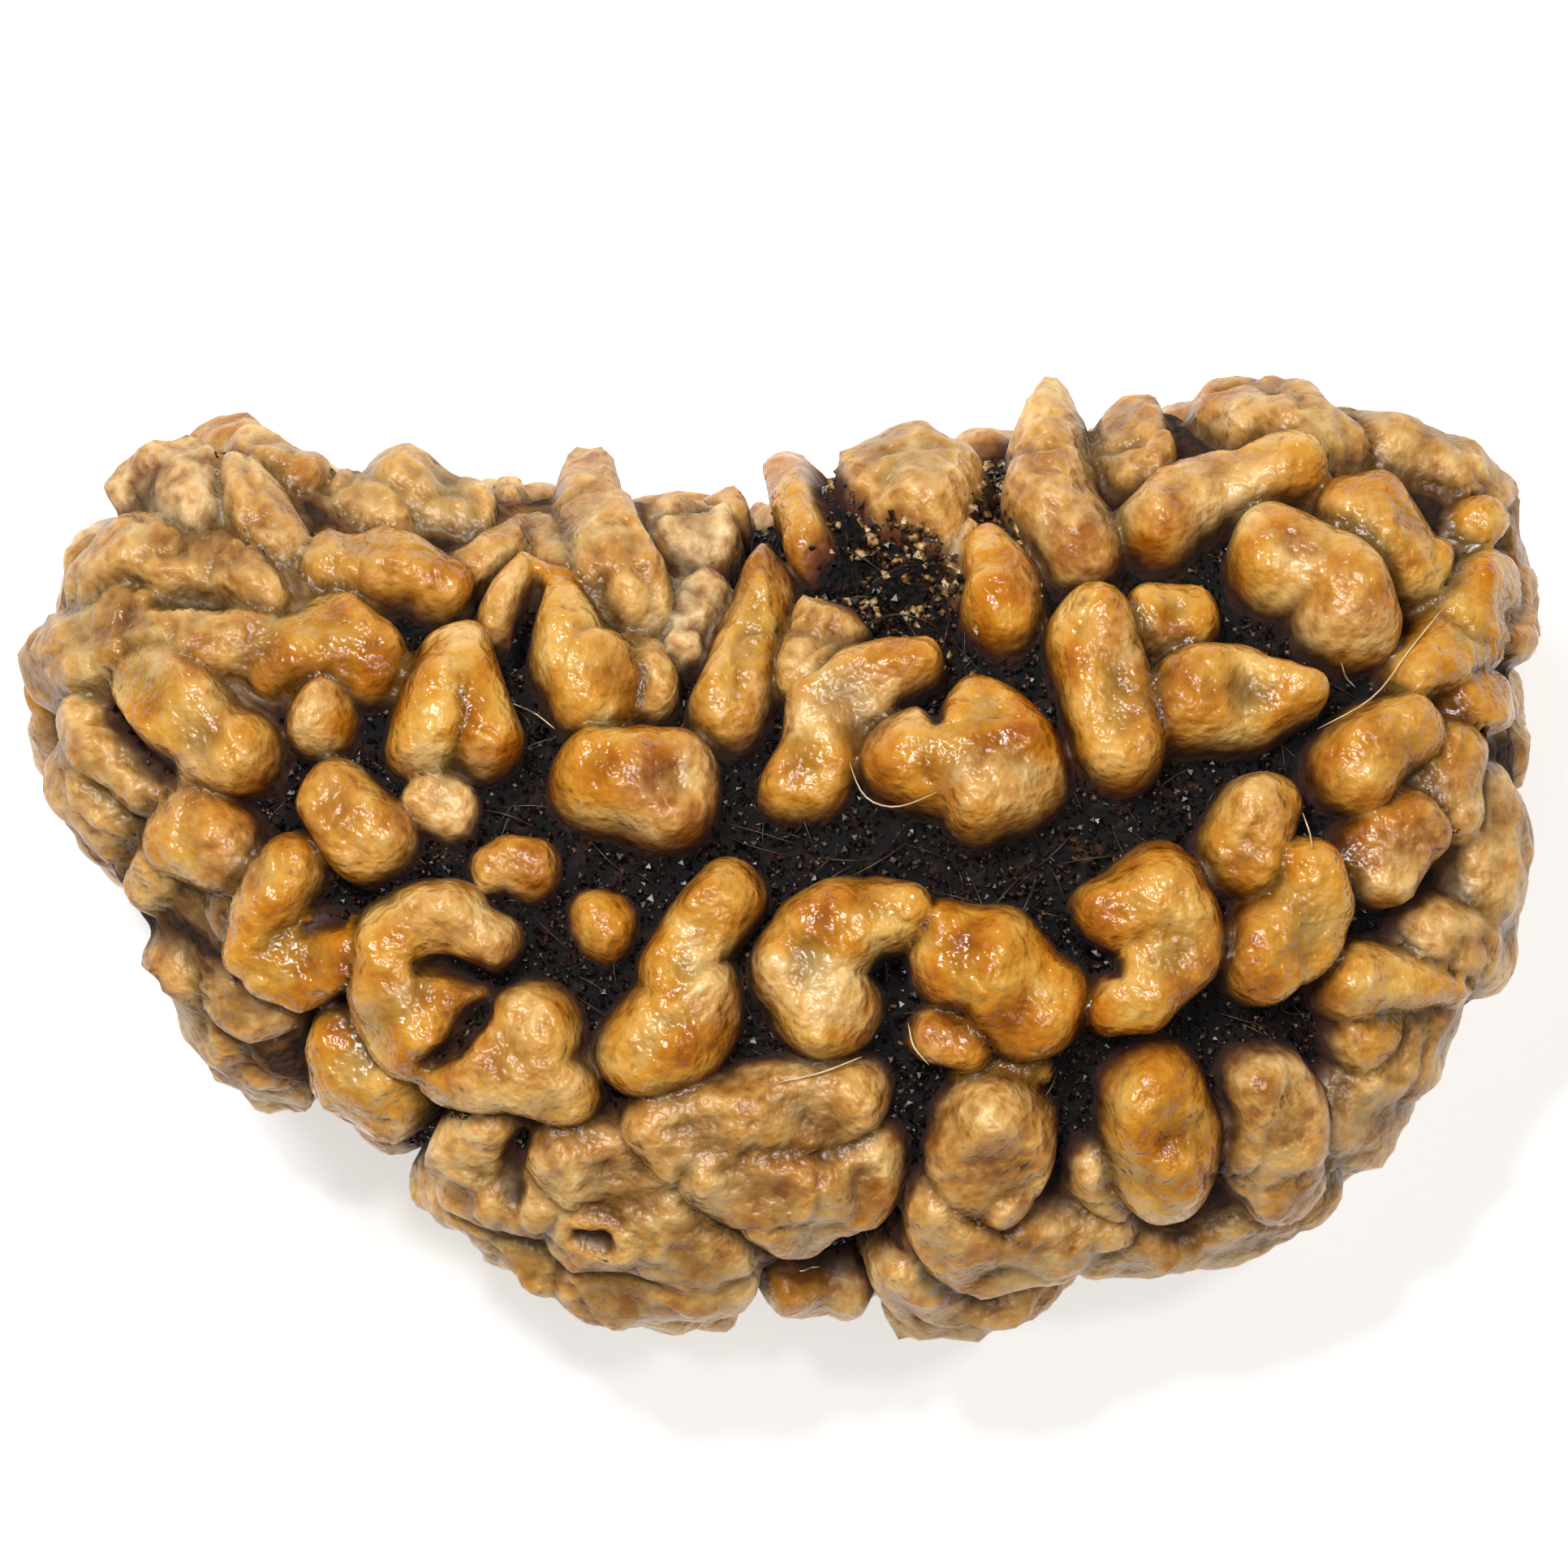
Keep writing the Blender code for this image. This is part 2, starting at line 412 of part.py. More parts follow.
def bead_mesh():
    """Fine ball moved out to the knobbly surface, still in the body's own place."""
    lattice = Lattice()
    front = [(tall, *rooted(lattice, places, tall)) for name, tall, places in KNOBS]
    mounds = [(tall, *rooted(lattice, places, tall)) for name, tall, places in MOUNDS]
    clefts = [(deep, *rooted(lattice, places, 1.0)) for name, deep, places in CLEFTS]
    line_places = [(x, y, BACK_LINE_RADIUS) for x, y in BACK_LINE]
    back_line = rooted(lattice, line_places, 0.0, facing=-1)
    taken = [(points, radii) for tall, points, radii in front] + [back_line]
    knobs = mounds + front + scattered(lattice, taken)

    bm = bmesh.new()
    bmesh.ops.create_icosphere(bm, subdivisions=SPHERE_SUBDIVISIONS, radius=1.0)
    mesh = bpy.data.meshes.new("bead")
    bm.to_mesh(mesh)
    bm.free()
    flat = np.empty(len(mesh.vertices) * 3)
    mesh.vertices.foreach_get("co", flat)
    directions = unit(flat.reshape(-1, 3))
    points = body_points(directions)
    surface = points + body_normals(directions) * relief(points, knobs, clefts)[:, None]
    surface[:, 2] -= surface[:, 2].min() + FOOT_DEPTH
    mesh.vertices.foreach_set("co", (surface * MM).ravel())
    mesh.update()
    return mesh


def stone_material():
    """Dried and oiled woody stone."""
    material = bpy.data.materials.new("oiled rudraksha stone")
    material.use_nodes = True
    shader = material.node_tree.nodes["Principled BSDF"]
    shader.inputs["Base Color"].default_value = (0.46, 0.24, 0.06, 1.0)
    shader.inputs["Roughness"].default_value = 0.35
    shader.inputs["Metallic"].default_value = 0.0
    return material


def ground_cutter(collection):
    """Block under the ground plane, which takes the lowest knobs down to flat spots."""
    size = CUTTER_SIZE * MM
    mesh = bpy.data.meshes.new("ground cutter")
    bm = bmesh.new()
    bmesh.ops.create_cube(bm, size=size)
    bmesh.ops.translate(bm, vec=(0, 0, -size / 2), verts=bm.verts)
    bm.to_mesh(mesh)
    bm.free()
    cutter = bpy.data.objects.new("ground_cutter", mesh)
    collection.objects.link(cutter)
    cutter.hide_render = True
    cutter.display_type = "WIRE"
    return cutter


def centre_over_origin(mesh):
    """Puts the middle of the outline over the origin and the flat spots on the ground."""
    flat = np.empty(len(mesh.vertices) * 3)
    mesh.vertices.foreach_get("co", flat)
    places = flat.reshape(-1, 3)
    low = places.min(axis=0)
    high = places.max(axis=0)
    places = places - np.array([(low[0] + high[0]) / 2, (low[1] + high[1]) / 2, low[2]])
    mesh.vertices.foreach_set("co", places.ravel())
    mesh.update()


def build():
    for item in list(bpy.data.objects):
        bpy.data.objects.remove(item, do_unlink=True)
    parts = bpy.data.collections.new("rudraksha bead")
    cutters = bpy.data.collections.new("cutters")
    bpy.context.scene.collection.children.link(parts)
    bpy.context.scene.collection.children.link(cutters)

    bead = bpy.data.objects.new("bead", bead_mesh())
    parts.objects.link(bead)
    thin = bead.modifiers.new("fewer faces", "DECIMATE")
    thin.ratio = FACE_BUDGET / len(bead.data.polygons)
    foot = bead.modifiers.new("flat spots", "BOOLEAN")
    foot.operation = "DIFFERENCE"
    foot.solver = "EXACT"
    foot.object = ground_cutter(cutters)

    bpy.context.view_layer.update()
    shaped = bead.evaluated_get(bpy.context.evaluated_depsgraph_get())
    finished = bpy.data.meshes.new_from_object(shaped)
    bead.modifiers.clear()
    bead.data = finished
    centre_over_origin(finished)
    finished.materials.clear()
    finished.materials.append(stone_material())
    finished.shade_smooth()


build()
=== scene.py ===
import math

import bpy
import numpy as np
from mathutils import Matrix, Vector


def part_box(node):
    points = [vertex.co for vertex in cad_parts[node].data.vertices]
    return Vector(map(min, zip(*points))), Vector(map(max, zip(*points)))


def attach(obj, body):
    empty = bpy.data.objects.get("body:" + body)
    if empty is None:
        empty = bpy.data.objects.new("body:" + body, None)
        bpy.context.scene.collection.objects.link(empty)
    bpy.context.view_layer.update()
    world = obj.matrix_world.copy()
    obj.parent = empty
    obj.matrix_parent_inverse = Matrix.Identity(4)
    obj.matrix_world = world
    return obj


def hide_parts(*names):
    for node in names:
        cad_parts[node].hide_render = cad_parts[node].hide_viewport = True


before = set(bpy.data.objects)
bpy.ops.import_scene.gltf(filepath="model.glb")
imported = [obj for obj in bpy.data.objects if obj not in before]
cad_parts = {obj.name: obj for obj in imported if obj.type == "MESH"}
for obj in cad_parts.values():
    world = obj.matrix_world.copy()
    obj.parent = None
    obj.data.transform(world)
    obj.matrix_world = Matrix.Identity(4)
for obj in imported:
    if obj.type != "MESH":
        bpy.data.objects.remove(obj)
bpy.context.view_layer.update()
frameLow, frameHigh = (np.array(corner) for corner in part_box("bead"))  # metres
millimetre = 0.001
print("frame loaded, box in mm", np.round((frameHigh - frameLow) / millimetre, 2))

# The stone. Sizes are in millimetres, seen from above: x along the bead, y towards its hollow
# edge. Stations run evenly from the left end to the right end of the body under the knobs.
stone = {
    "halfLength": 12.0,
    "middleY": (2.8, 2.8, 1.7, 1.2, 0.5, -0.3, -0.7, -0.9, -0.8, -0.3, -0.4, 0.0, 0.3, 0.4, 0.9, 1.6, 2.4),
    "halfWidth": (3.2, 4.3, 5.3, 5.0, 5.5, 6.0, 6.5, 6.5, 6.3, 6.7, 6.9, 6.8, 6.7, 6.7, 6.8, 6.5, 6.0),
    "halfThickness": (3.6, 4.0, 4.3, 4.5, 4.7, 4.8, 4.8, 4.8, 4.8, 4.8, 4.8, 4.8, 4.8, 4.7, 4.5, 4.2, 3.9),
    "endBluntness": 4.0,
    "sectionBluntness": 2.3,
    "frontLean": 0.22,
    "backLean": 0.06,
    "meanHalfWidth": 6.0,
    "outlineSteps": 4001,
    "knobDome": 3.0,
    "knobSpread": 1.10,
    "knobSideFall": 1.6,
    "knobMerge": 0.14,
    "knobReach": 2.2,  # how many radii away a knob still counts
    "moundEdge": 2.0,
    "seamReach": 0.16,
    "seamDepth": 0.12,
    "seamFade": 4.0,
    "cleftRise": 1.6,
    "rootFlare": 0.34,
    "tipShare": 0.75,
    "pathStep": 0.7,
    "crestPull": 0.002,
    "facingLimit": -0.05,
    "wander": 0.045,
    "wanderWaves": (2.1, 2.9, 3.7),
    "wanderPhases": (1.3, 0.7),
    "swellShare": 0.10,
    "swellTurns": (3.1, 2.7, 1.9),  # radians a millimetre
    "footDepth": 0.36,
    "latticeCount": 24000,
    "normalStep": 0.004,
    "gridSize": 127,  # odd, so that no point falls on the poles at the two ends
    "settleRounds": 6,
    "settleSteps": 5,
    "quickGrid": 63,
    "quickRounds": 3,
    "frontCare": 0.5,
    "frontStart": 0.3,
    "creaseRounds": 12,
    "tintSeed": 3,
}

# Knobs of the front: height, finish, then places along the knob as (x, y, radius)
knobs = {
    "front": {
        # left end
        "shoulder": (1.20, "belly", ((-11.7, 4.7, 0.70), (-11.0, 5.2, 0.72), (-10.2, 5.2, 0.75),
            (-9.2, 4.8, 0.58), (-8.5, 4.4, 0.34))),
        "brow": (1.20, "belly", ((-12.6, 3.4, 0.85), (-11.3, 3.8, 0.95),
            (-10.1, 3.7, 0.86), (-8.8, 3.6, 0.66))),
        "cheek": (1.35, "amber", ((-10.6, 3.0, 0.74), (-9.9, 2.3, 0.86), (-9.2, 1.8, 0.78))),
        "jaw": (1.15, "belly", ((-12.1, 2.4, 0.55), (-11.6, 1.9, 0.55), (-10.7, 1.3, 0.55))),
        "nub": (1.20, "amber", ((-10.1, 0.5, 0.78), (-9.6, 0.2, 0.74))),
        "left edge": (1.10, "belly", ((-12.1, 1.4, 0.65), (-11.5, 0.6, 0.75))),
        "lobe": (1.05, "belly", ((-10.6, -0.4, 0.66),)),
        "sliver": (0.85, "belly", ((-9.5, -0.8, 0.45), (-9.1, -1.3, 0.35))),
        # lower left
        "upper lip": (1.30, "amber", ((-8.2, -0.2, 0.60), (-8.6, -0.9, 0.70), (-8.7, -1.5, 0.60))),
        "lower lip": (1.30, "amber", ((-8.5, -1.8, 0.62), (-7.9, -1.8, 0.66), (-7.5, -1.6, 0.52))),
        "side fold": (1.10, "belly", ((-10.3, -1.9, 0.75), (-9.9, -2.9, 0.80))),
        "side bump": (1.10, "belly", ((-9.1, -2.6, 0.75),)),
        "side foot": (1.10, "belly", ((-9.4, -3.6, 0.70), (-8.5, -4.1, 0.75))),
        "shell": (1.30, "amber", ((-7.5, -3.4, 0.84), (-7.0, -4.1, 0.95))),
        "claw top": (1.35, "amber", ((-4.8, -1.4, 0.46), (-5.5, -1.0, 0.66), (-6.3, -1.1, 0.74))),
        "claw back": (1.40, "amber", ((-6.4, -1.4, 0.74), (-6.4, -2.4, 0.84), (-5.9, -3.2, 0.78))),
        "claw tongue": (1.30, "amber", ((-6.0, -2.3, 0.74), (-5.5, -2.5, 0.56))),
        "claw base": (1.40, "amber", ((-5.4, -3.6, 0.75), (-4.4, -3.1, 0.92), (-3.8, -3.9, 0.66))),
        # upper left
        "olive": (1.15, "amber", ((-7.8, 2.4, 0.62),)),
        "bridge": (1.25, "amber", ((-8.5, 3.5, 0.66), (-7.5, 3.9, 0.85), (-6.8, 3.4, 0.62))),
        "saddle": (1.30, "amber", ((-7.6, 5.0, 0.66), (-6.6, 5.0, 0.66), (-5.6, 4.6, 0.42))),
        "heart left": (1.40, "amber", ((-5.4, 3.5, 0.70), (-5.8, 2.2, 0.62))),
        "heart right": (1.40, "amber", ((-5.4, 3.5, 0.70), (-4.9, 2.2, 0.68))),
        "fin": (1.30, "amber", ((-4.8, 4.2, 0.38), (-4.3, 4.7, 0.42), (-3.7, 4.5, 0.50))),
        "fin body": (1.40, "amber", ((-3.7, 4.5, 0.50), (-3.5, 3.7, 0.72), (-3.0, 3.1, 0.80))),
        "fin wing": (1.05, "belly", ((-2.4, 3.5, 0.50), (-2.0, 2.8, 0.42))),
        # middle
        "bean": (1.35, "amber", ((-7.5, 1.0, 0.66), (-6.9, 0.3, 0.70))),
        "pea": (1.00, "belly", ((-5.8, 1.0, 0.52), (-5.5, 0.9, 0.52))),
        "seed": (0.95, "amber", ((-4.9, 0.0, 0.40), (-4.2, 0.0, 0.52))),
        "bud": (0.85, "amber", ((-2.9, -1.1, 0.54),)),
        "egg": (1.50, "amber", ((-3.0, 1.5, 0.86), (-2.0, 1.3, 0.98))),
        "kidney arm": (1.45, "amber", ((-0.8, -0.5, 0.62), (-1.3, -1.3, 0.62), (-1.7, -1.9, 0.66))),
        "kidney": (1.45, "amber", ((-1.5, -2.5, 0.95), (-2.0, -3.1, 0.95))),
        "hook": (1.40, "amber", ((2.0, -0.9, 0.52), (1.1, -1.0, 0.70),
            (0.5, -1.7, 0.84), (0.9, -2.6, 0.82))),
        "calf": (1.40, "amber", ((2.9, -1.5, 0.78), (3.7, -1.5, 0.82), (4.2, -2.3, 0.88))),
        "calf toe": (0.95, "amber", ((2.6, -2.9, 0.48), (3.2, -3.0, 0.50))),
        "ear": (1.45, "amber", ((5.6, -0.8, 0.62), (6.3, -0.6, 0.86), (6.6, -1.3, 0.86),
            (6.3, -2.1, 0.76), (5.6, -2.6, 0.45))),
        "slim twin": (1.30, "amber", ((8.1, 0.9, 0.62), (7.8, 0.1, 0.74))),
        "broad twin": (1.35, "amber", ((9.0, -0.3, 0.62), (8.9, -1.2, 0.82), (8.2, -1.7, 0.62))),
        "low toe": (1.25, "amber", ((10.8, 0.6, 0.60), (10.3, -0.1, 0.72))),
        "high toe": (1.15, "amber", ((11.5, 1.8, 0.60), (11.4, 0.9, 0.60))),
        "coffee bean": (1.40, "amber", ((10.7, 2.2, 0.70), (9.8, 1.6, 0.74))),
        # right end
        "right cheek": (1.25, "belly", ((12.5, 0.9, 0.74), (12.4, 0.0, 0.95), (12.4, -0.9, 1.05),
            (12.3, -1.7, 0.95), (11.4, -1.4, 0.66))),
        "low ridge": (1.15, "amber", ((10.1, -2.1, 0.72), (10.8, -2.2, 0.66), (11.4, -2.3, 0.40))),
        "low ridge foot": (1.05, "amber", ((10.3, -2.9, 0.66),)),
        "low chin": (1.15, "belly", ((11.3, -2.7, 0.66), (10.9, -3.2, 0.85),
            (10.4, -4.1, 0.92), (9.7, -5.0, 0.92))),
        "chip": (0.75, "amber", ((9.6, -3.9, 0.36),)),
        "thumb": (1.30, "belly", ((8.5, -3.9, 0.72), (8.5, -4.9, 0.85), (8.7, -5.6, 0.76))),
        "right belly": (1.15, "belly", ((5.6, -6.8, 0.75), (6.8, -6.7, 0.85),
            (8.0, -6.4, 0.88), (9.0, -5.7, 0.80))),
        "molar": (1.40, "amber", ((6.4, -4.2, 0.86), (6.4, -5.3, 1.02))),
        "molar root": (0.90, "belly", ((5.3, -5.3, 0.42), (5.7, -5.9, 0.42))),
        "plum": (1.35, "belly", ((3.7, -4.6, 0.95), (3.6, -5.1, 1.00))),
        "shelf": (0.45, "amber", ((3.2, -3.7, 0.36), (4.2, -3.6, 0.36))),
        # lower edge
        "belly": (1.15, "belly", ((2.7, -6.3, 0.75), (3.8, -6.9, 0.80), (5.3, -6.5, 0.85))),
        "keel": (1.10, "belly", ((1.9, -7.0, 0.60), (2.6, -7.8, 0.66),
            (3.6, -7.8, 0.66), (4.6, -7.4, 0.60))),
        "button": (1.05, "amber", ((0.3, -7.5, 0.56), (1.2, -7.6, 0.62))),
        "loaf crest": (1.30, "belly", ((-1.9, -4.6, 0.84), (-0.3, -4.4, 0.84), (1.3, -4.1, 0.66))),
        "loaf": (1.35, "belly", ((-1.1, -5.2, 0.88), (0.4, -5.8, 0.98), (1.5, -5.4, 0.76))),
        "hull fold": (1.20, "belly", ((-5.2, -4.8, 0.70), (-5.2, -5.5, 0.74), (-4.2, -5.9, 0.70))),
        "hull crest": (1.15, "belly", ((-3.6, -5.1, 0.75), (-2.5, -5.4, 0.75))),
        "hull": (1.20, "belly", ((-3.4, -6.3, 0.80), (-2.2, -6.2, 0.95), (-1.0, -6.7, 0.85))),
        "hull foot": (1.20, "belly", ((-3.0, -7.3, 0.90), (-1.8, -7.5, 0.95), (-0.9, -7.2, 0.70))),
        "hull rim": (1.10, "belly", ((-5.8, -5.8, 0.72), (-4.9, -6.5, 0.72), (-4.1, -7.0, 0.70))),
        # hollow edge, behind the front knobs
        "peak": (1.32, "belly", ((-3.3, 6.8, 0.36), (-3.2, 5.9, 0.74),
            (-2.8, 5.1, 0.90), (-2.2, 4.5, 0.62))),
        "peak flank": (1.10, "belly", ((-4.0, 5.6, 0.62), (-3.6, 5.0, 0.72))),
        "peak root": (1.05, "belly", ((-4.2, 5.6, 0.55), (-5.3, 4.9, 0.45))),
        "left crag": (1.25, "belly", ((-6.5, 6.5, 0.85), (-5.4, 6.2, 0.75))),
        "left rim": (1.05, "belly", ((-7.3, 6.3, 0.75), (-6.6, 6.0, 0.70))),
        "rim knuckle": (1.00, "crust", ((-4.6, 6.2, 0.50),)),
        "horn": (1.25, "belly", ((-9.2, 6.5, 0.52), (-8.9, 5.9, 0.62), (-8.4, 5.3, 0.50))),
        "corner crust": (1.30, "crust", ((-10.8, 6.6, 0.60), (-10.2, 6.6, 0.72), (-10.0, 5.9, 0.50))),
        "corner roll": (1.15, "belly", ((-9.0, 7.0, 0.52), (-8.1, 6.6, 0.60))),
        "crag": (1.05, "crust", ((-1.5, 5.7, 0.84),)),
        "crag tip": (1.00, "belly", ((-0.9, 6.1, 0.50),)),
        "crag foot": (0.95, "crust", ((-1.3, 4.5, 0.60), (-1.6, 3.8, 0.45))),
        "tooth": (1.30, "amber", ((-0.1, 7.0, 0.34), (0.1, 6.2, 0.58), (0.3, 5.5, 0.52))),
        "blade": (1.35, "amber", ((-0.2, 4.8, 0.64), (-0.5, 3.8, 0.78), (-0.8, 2.7, 0.72))),
        "blade wing": (1.15, "belly", ((0.6, 4.1, 0.66), (0.3, 3.2, 0.62))),
        "dome": (1.32, "belly", ((1.6, 6.7, 0.80), (2.2, 6.9, 0.95), (2.8, 6.7, 0.80), (2.5, 6.1, 0.85))),
        "dome foot": (0.80, "crust", ((3.1, 5.3, 0.45), (3.0, 4.6, 0.36))),
        "cap": (1.25, "amber", ((3.6, 5.3, 0.56), (3.8, 4.5, 0.72))),
        "column": (1.30, "belly", ((4.7, 7.8, 0.36), (4.7, 7.1, 0.74),
            (4.6, 6.3, 0.86), (5.1, 5.5, 0.70))),
        "stub": (1.25, "belly", ((6.0, 7.5, 0.62), (6.1, 6.8, 0.64))),
        "eyebrow": (1.35, "amber", ((6.4, 5.7, 0.60), (7.4, 6.4, 0.60), (8.8, 6.7, 0.52))),
        "boulder": (1.50, "amber", ((8.4, 5.2, 0.84), (9.4, 5.0, 0.76), (9.8, 4.1, 0.85))),
        "small boulder": (1.40, "amber", ((10.2, 6.0, 0.70), (11.0, 5.1, 0.70))),
        "grain": (1.25, "amber", ((12.0, 5.8, 0.44),)),
        "right rim": (1.42, "belly", ((7.7, 7.8, 0.84), (8.6, 7.7, 0.85), (9.4, 7.2, 0.65))),
        "right corner": (1.20, "belly", ((9.9, 7.3, 0.72), (11.0, 7.0, 0.74), (12.1, 6.4, 0.66))),
        "end rim": (1.15, "belly", ((12.6, 6.0, 0.72), (12.8, 4.9, 0.70), (12.6, 3.8, 0.55))),
        "low end rim": (0.90, "belly", ((12.7, 2.9, 0.62), (12.8, 1.8, 0.66))),
        # right of the middle
        "pillar": (1.45, "amber", ((5.4, 4.0, 0.74), (5.4, 3.0, 0.72), (5.8, 1.9, 0.78))),
        "bun": (1.20, "amber", ((6.5, 4.2, 0.58), (7.1, 4.2, 0.60))),
        "paw": (1.40, "amber", ((7.1, 2.8, 0.86), (8.0, 2.8, 0.76), (8.9, 2.7, 0.42))),
        "arch": (1.25, "amber", ((0.4, 1.5, 0.68), (0.7, 2.5, 0.66), (1.5, 3.2, 0.56), (2.5, 3.4, 0.42))),
        "big tooth": (1.50, "amber", ((2.1, 1.8, 0.78), (3.0, 1.6, 0.85), (3.6, 2.3, 0.88),
            (3.9, 1.4, 0.92), (3.3, 1.2, 0.75))),
        "end fold": (1.20, "amber", ((12.3, 4.6, 0.78), (11.7, 3.8, 0.78), (10.9, 3.1, 0.54))),
        "end bump": (1.10, "amber", ((12.0, 2.7, 0.70),)),
    },
    # broad low swellings that carry several knobs
    "mounds": {
        "left mass": (0.95, ((-11.6, 3.9, 1.60), (-9.6, 3.9, 1.80), (-7.8, 4.4, 1.20))),
        "upper left mass": (0.80, ((-10.0, 5.8, 1.40), (-7.0, 5.8, 1.40),
            (-4.6, 5.7, 1.20), (-2.6, 5.4, 1.10))),
        "lower left mass": (0.75, ((-11.2, 0.8, 1.50), (-9.7, -1.9, 1.40), (-8.6, -3.5, 1.10))),
        "hull mass": (0.80, ((-4.8, -5.6, 1.30), (-2.6, -6.4, 1.60), (-0.6, -6.4, 1.00))),
        "belly mass": (0.75, ((2.6, -6.9, 1.10), (5.0, -6.4, 1.20), (8.4, -6.0, 1.20))),
        "right mass": (0.70, ((12.1, 5.6, 1.10), (12.2, 3.2, 1.10),
            (12.2, -0.6, 1.30), (11.0, -3.4, 1.00))),
        "upper right mass": (0.80, ((6.6, 7.2, 1.00), (8.6, 7.2, 1.20), (11.2, 6.6, 1.30))),
    },
    # clefts and hollows: depth, then places
    "clefts": {
        "under shoulder": (0.25, ((-10.4, 4.3, 0.14), (-9.5, 4.3, 0.16))),
        "lip cleft": (0.35, ((-7.4, -1.0, 0.14), (-8.0, -1.1, 0.10))),
        "claw notch": (0.45, ((-5.9, -1.7, 0.12), (-5.1, -1.9, 0.26))),
        "claw crack": (0.60, ((-5.7, -3.2, 0.14), (-5.0, -2.6, 0.32))),
        "saddle slit": (0.25, ((-6.6, 4.2, 0.16), (-6.2, 4.2, 0.18))),
        "jaw slit": (0.50, ((-11.3, 2.4, 0.20), (-10.3, 1.5, 0.26))),
        "hull notch": (0.40, ((-4.5, -4.8, 0.22), (-4.4, -5.5, 0.16))),
        "hull pit": (0.42, ((-3.3, -6.0, 0.16), (-3.0, -6.1, 0.20))),
        "tooth gap": (0.55, ((0.8, 6.9, 0.18), (1.0, 6.2, 0.28), (1.1, 5.6, 0.30))),
        "fin slit": (0.50, ((-4.3, 3.8, 0.24), (-4.1, 4.3, 0.20))),
        "ear notch": (0.50, ((5.2, -1.6, 0.30), (5.7, -1.7, 0.22))),
        "calf notch": (0.50, ((4.4, -1.0, 0.20), (4.9, -1.3, 0.36))),
        "hook hollow": (0.45, ((1.7, -1.8, 0.22), (2.1, -1.9, 0.30))),
        "tooth notch": (0.40, ((2.7, 2.6, 0.26), (2.7, 2.2, 0.20))),
        "deep hollow": (0.80, ((1.4, 4.9, 0.90), (2.4, 4.6, 0.80))),
    },
    # the line of the single face on the back, left open by the knobs there
    "backLine": ((-9.6, 2.2), (-6.0, 0.4), (-2.0, -0.9), (2.0, -1.2), (6.0, -0.2), (10.0, 1.8)),
    "backLineRadius": 0.25,
    # knobs spread by rule: share of tries, path points, step, smallest and largest radius, height.
    # Those rooted above spreadRim, near the outline, have only spreadRimShare of their height.
    "spreadKinds": (
        (0.30, 3, 0.90, 0.72, 0.92, 1.15),
        (0.35, 2, 0.85, 0.60, 0.82, 1.05),
        (0.35, 1, 0.00, 0.42, 0.66, 0.85),
    ),
    "spreadSeed": 11,
    "spreadTries": 5000,
    "spreadGap": 0.10,
    "spreadTurn": 0.15,
    "spreadBend": (0.3, 1.0),
    "spreadHeight": (0.85, 1.1),
    "spreadTaper": 0.85,
    "spreadFinish": 0.5,
    "spreadRim": -0.35,
    "spreadRimShare": 0.65,
}

# Each finish, from 0 to 1: how pale it is and how dry. A mound has two values more: no tint of
# its own, and grooves that are mostly clean.
finishes = {"amber": (0.0, 0.0), "belly": (0.6, 0.3), "crust": (1.0, 1.0)}
moundFinish = (0.6, 0.3, 0.0, 0.75)


# Each row is divided by its own length.
def unit(vectors):
    return vectors / np.linalg.norm(vectors, axis=1, keepdims=True)


# Cubic curve through evenly spaced values, with each slope taken from the two values beside it.
def along(place, values):
    values = np.asarray(values, float)
    spot = (place + 1) / 2 * (len(values) - 1)
    index = np.clip(np.floor(spot).astype(int), 0, len(values) - 2)
    part = spot - index
    slopes = np.gradient(values)
    start = values[index] * (1 + 2 * part) * (1 - part) ** 2
    end = values[index + 1] * part ** 2 * (3 - 2 * part)
    leave = slopes[index] * part * (1 - part) ** 2
    arrive = slopes[index + 1] * part ** 2 * (part - 1)
    return start + end + leave + arrive


# The body: a direction's x is the station along the bead, its y and z the place round the
# section. The section is a superellipse, and shrinks as another one towards both ends.
def bodyPoints(directions):
    station, side, rise = directions.T
    ring = np.maximum(np.hypot(side, rise), 1e-9)
    side = side / ring
    rise = rise / ring
    power = stone["sectionBluntness"]
    roundOff = (np.abs(side) ** power + np.abs(rise) ** power) ** (-1 / power)
    side = side * roundOff
    rise = rise * roundOff
    station = np.clip(station, -1, 1)
    ends = stone["endBluntness"]
    swell = np.maximum(1 - np.abs(station) ** ends, 0) ** (1 / ends)
    lean = np.where(rise > 0, stone["frontLean"], stone["backLean"])
    x = stone["halfLength"] * station
    y = along(station, stone["middleY"]) + along(station, stone["halfWidth"]) * swell * side
    z = along(station, stone["halfThickness"]) * swell * rise * (1 - lean * side)
    return np.column_stack((x, y, z))


# Normals of the body: the cross product of two short steps across it.
def bodyNormals(directions):
    turn = stone["normalStep"]
    helper = np.where(np.abs(directions[:, 2:]) < 0.8, [[0.0, 0.0, 1.0]], [[0.0, 1.0, 0.0]])
    first = unit(np.cross(helper, directions))
    second = np.cross(directions, first)
    steps = []
    for tangent in (first, second):
        ahead = bodyPoints(unit(directions + turn * tangent))
        behind = bodyPoints(unit(directions - turn * tangent))
        steps.append(ahead - behind)
    return unit(np.cross(steps[0], steps[1]))


# Even spread over a ball: heights in equal steps, each turned on by the golden angle.
def latticeDirections(count):
    index = np.arange(count) + 0.5
    height = 1 - 2 * index / count
    ring = np.sqrt(1 - height ** 2)
    turn = index * math.pi * (3 - math.sqrt(5))
    return np.column_stack((ring * np.cos(turn), ring * np.sin(turn), height))


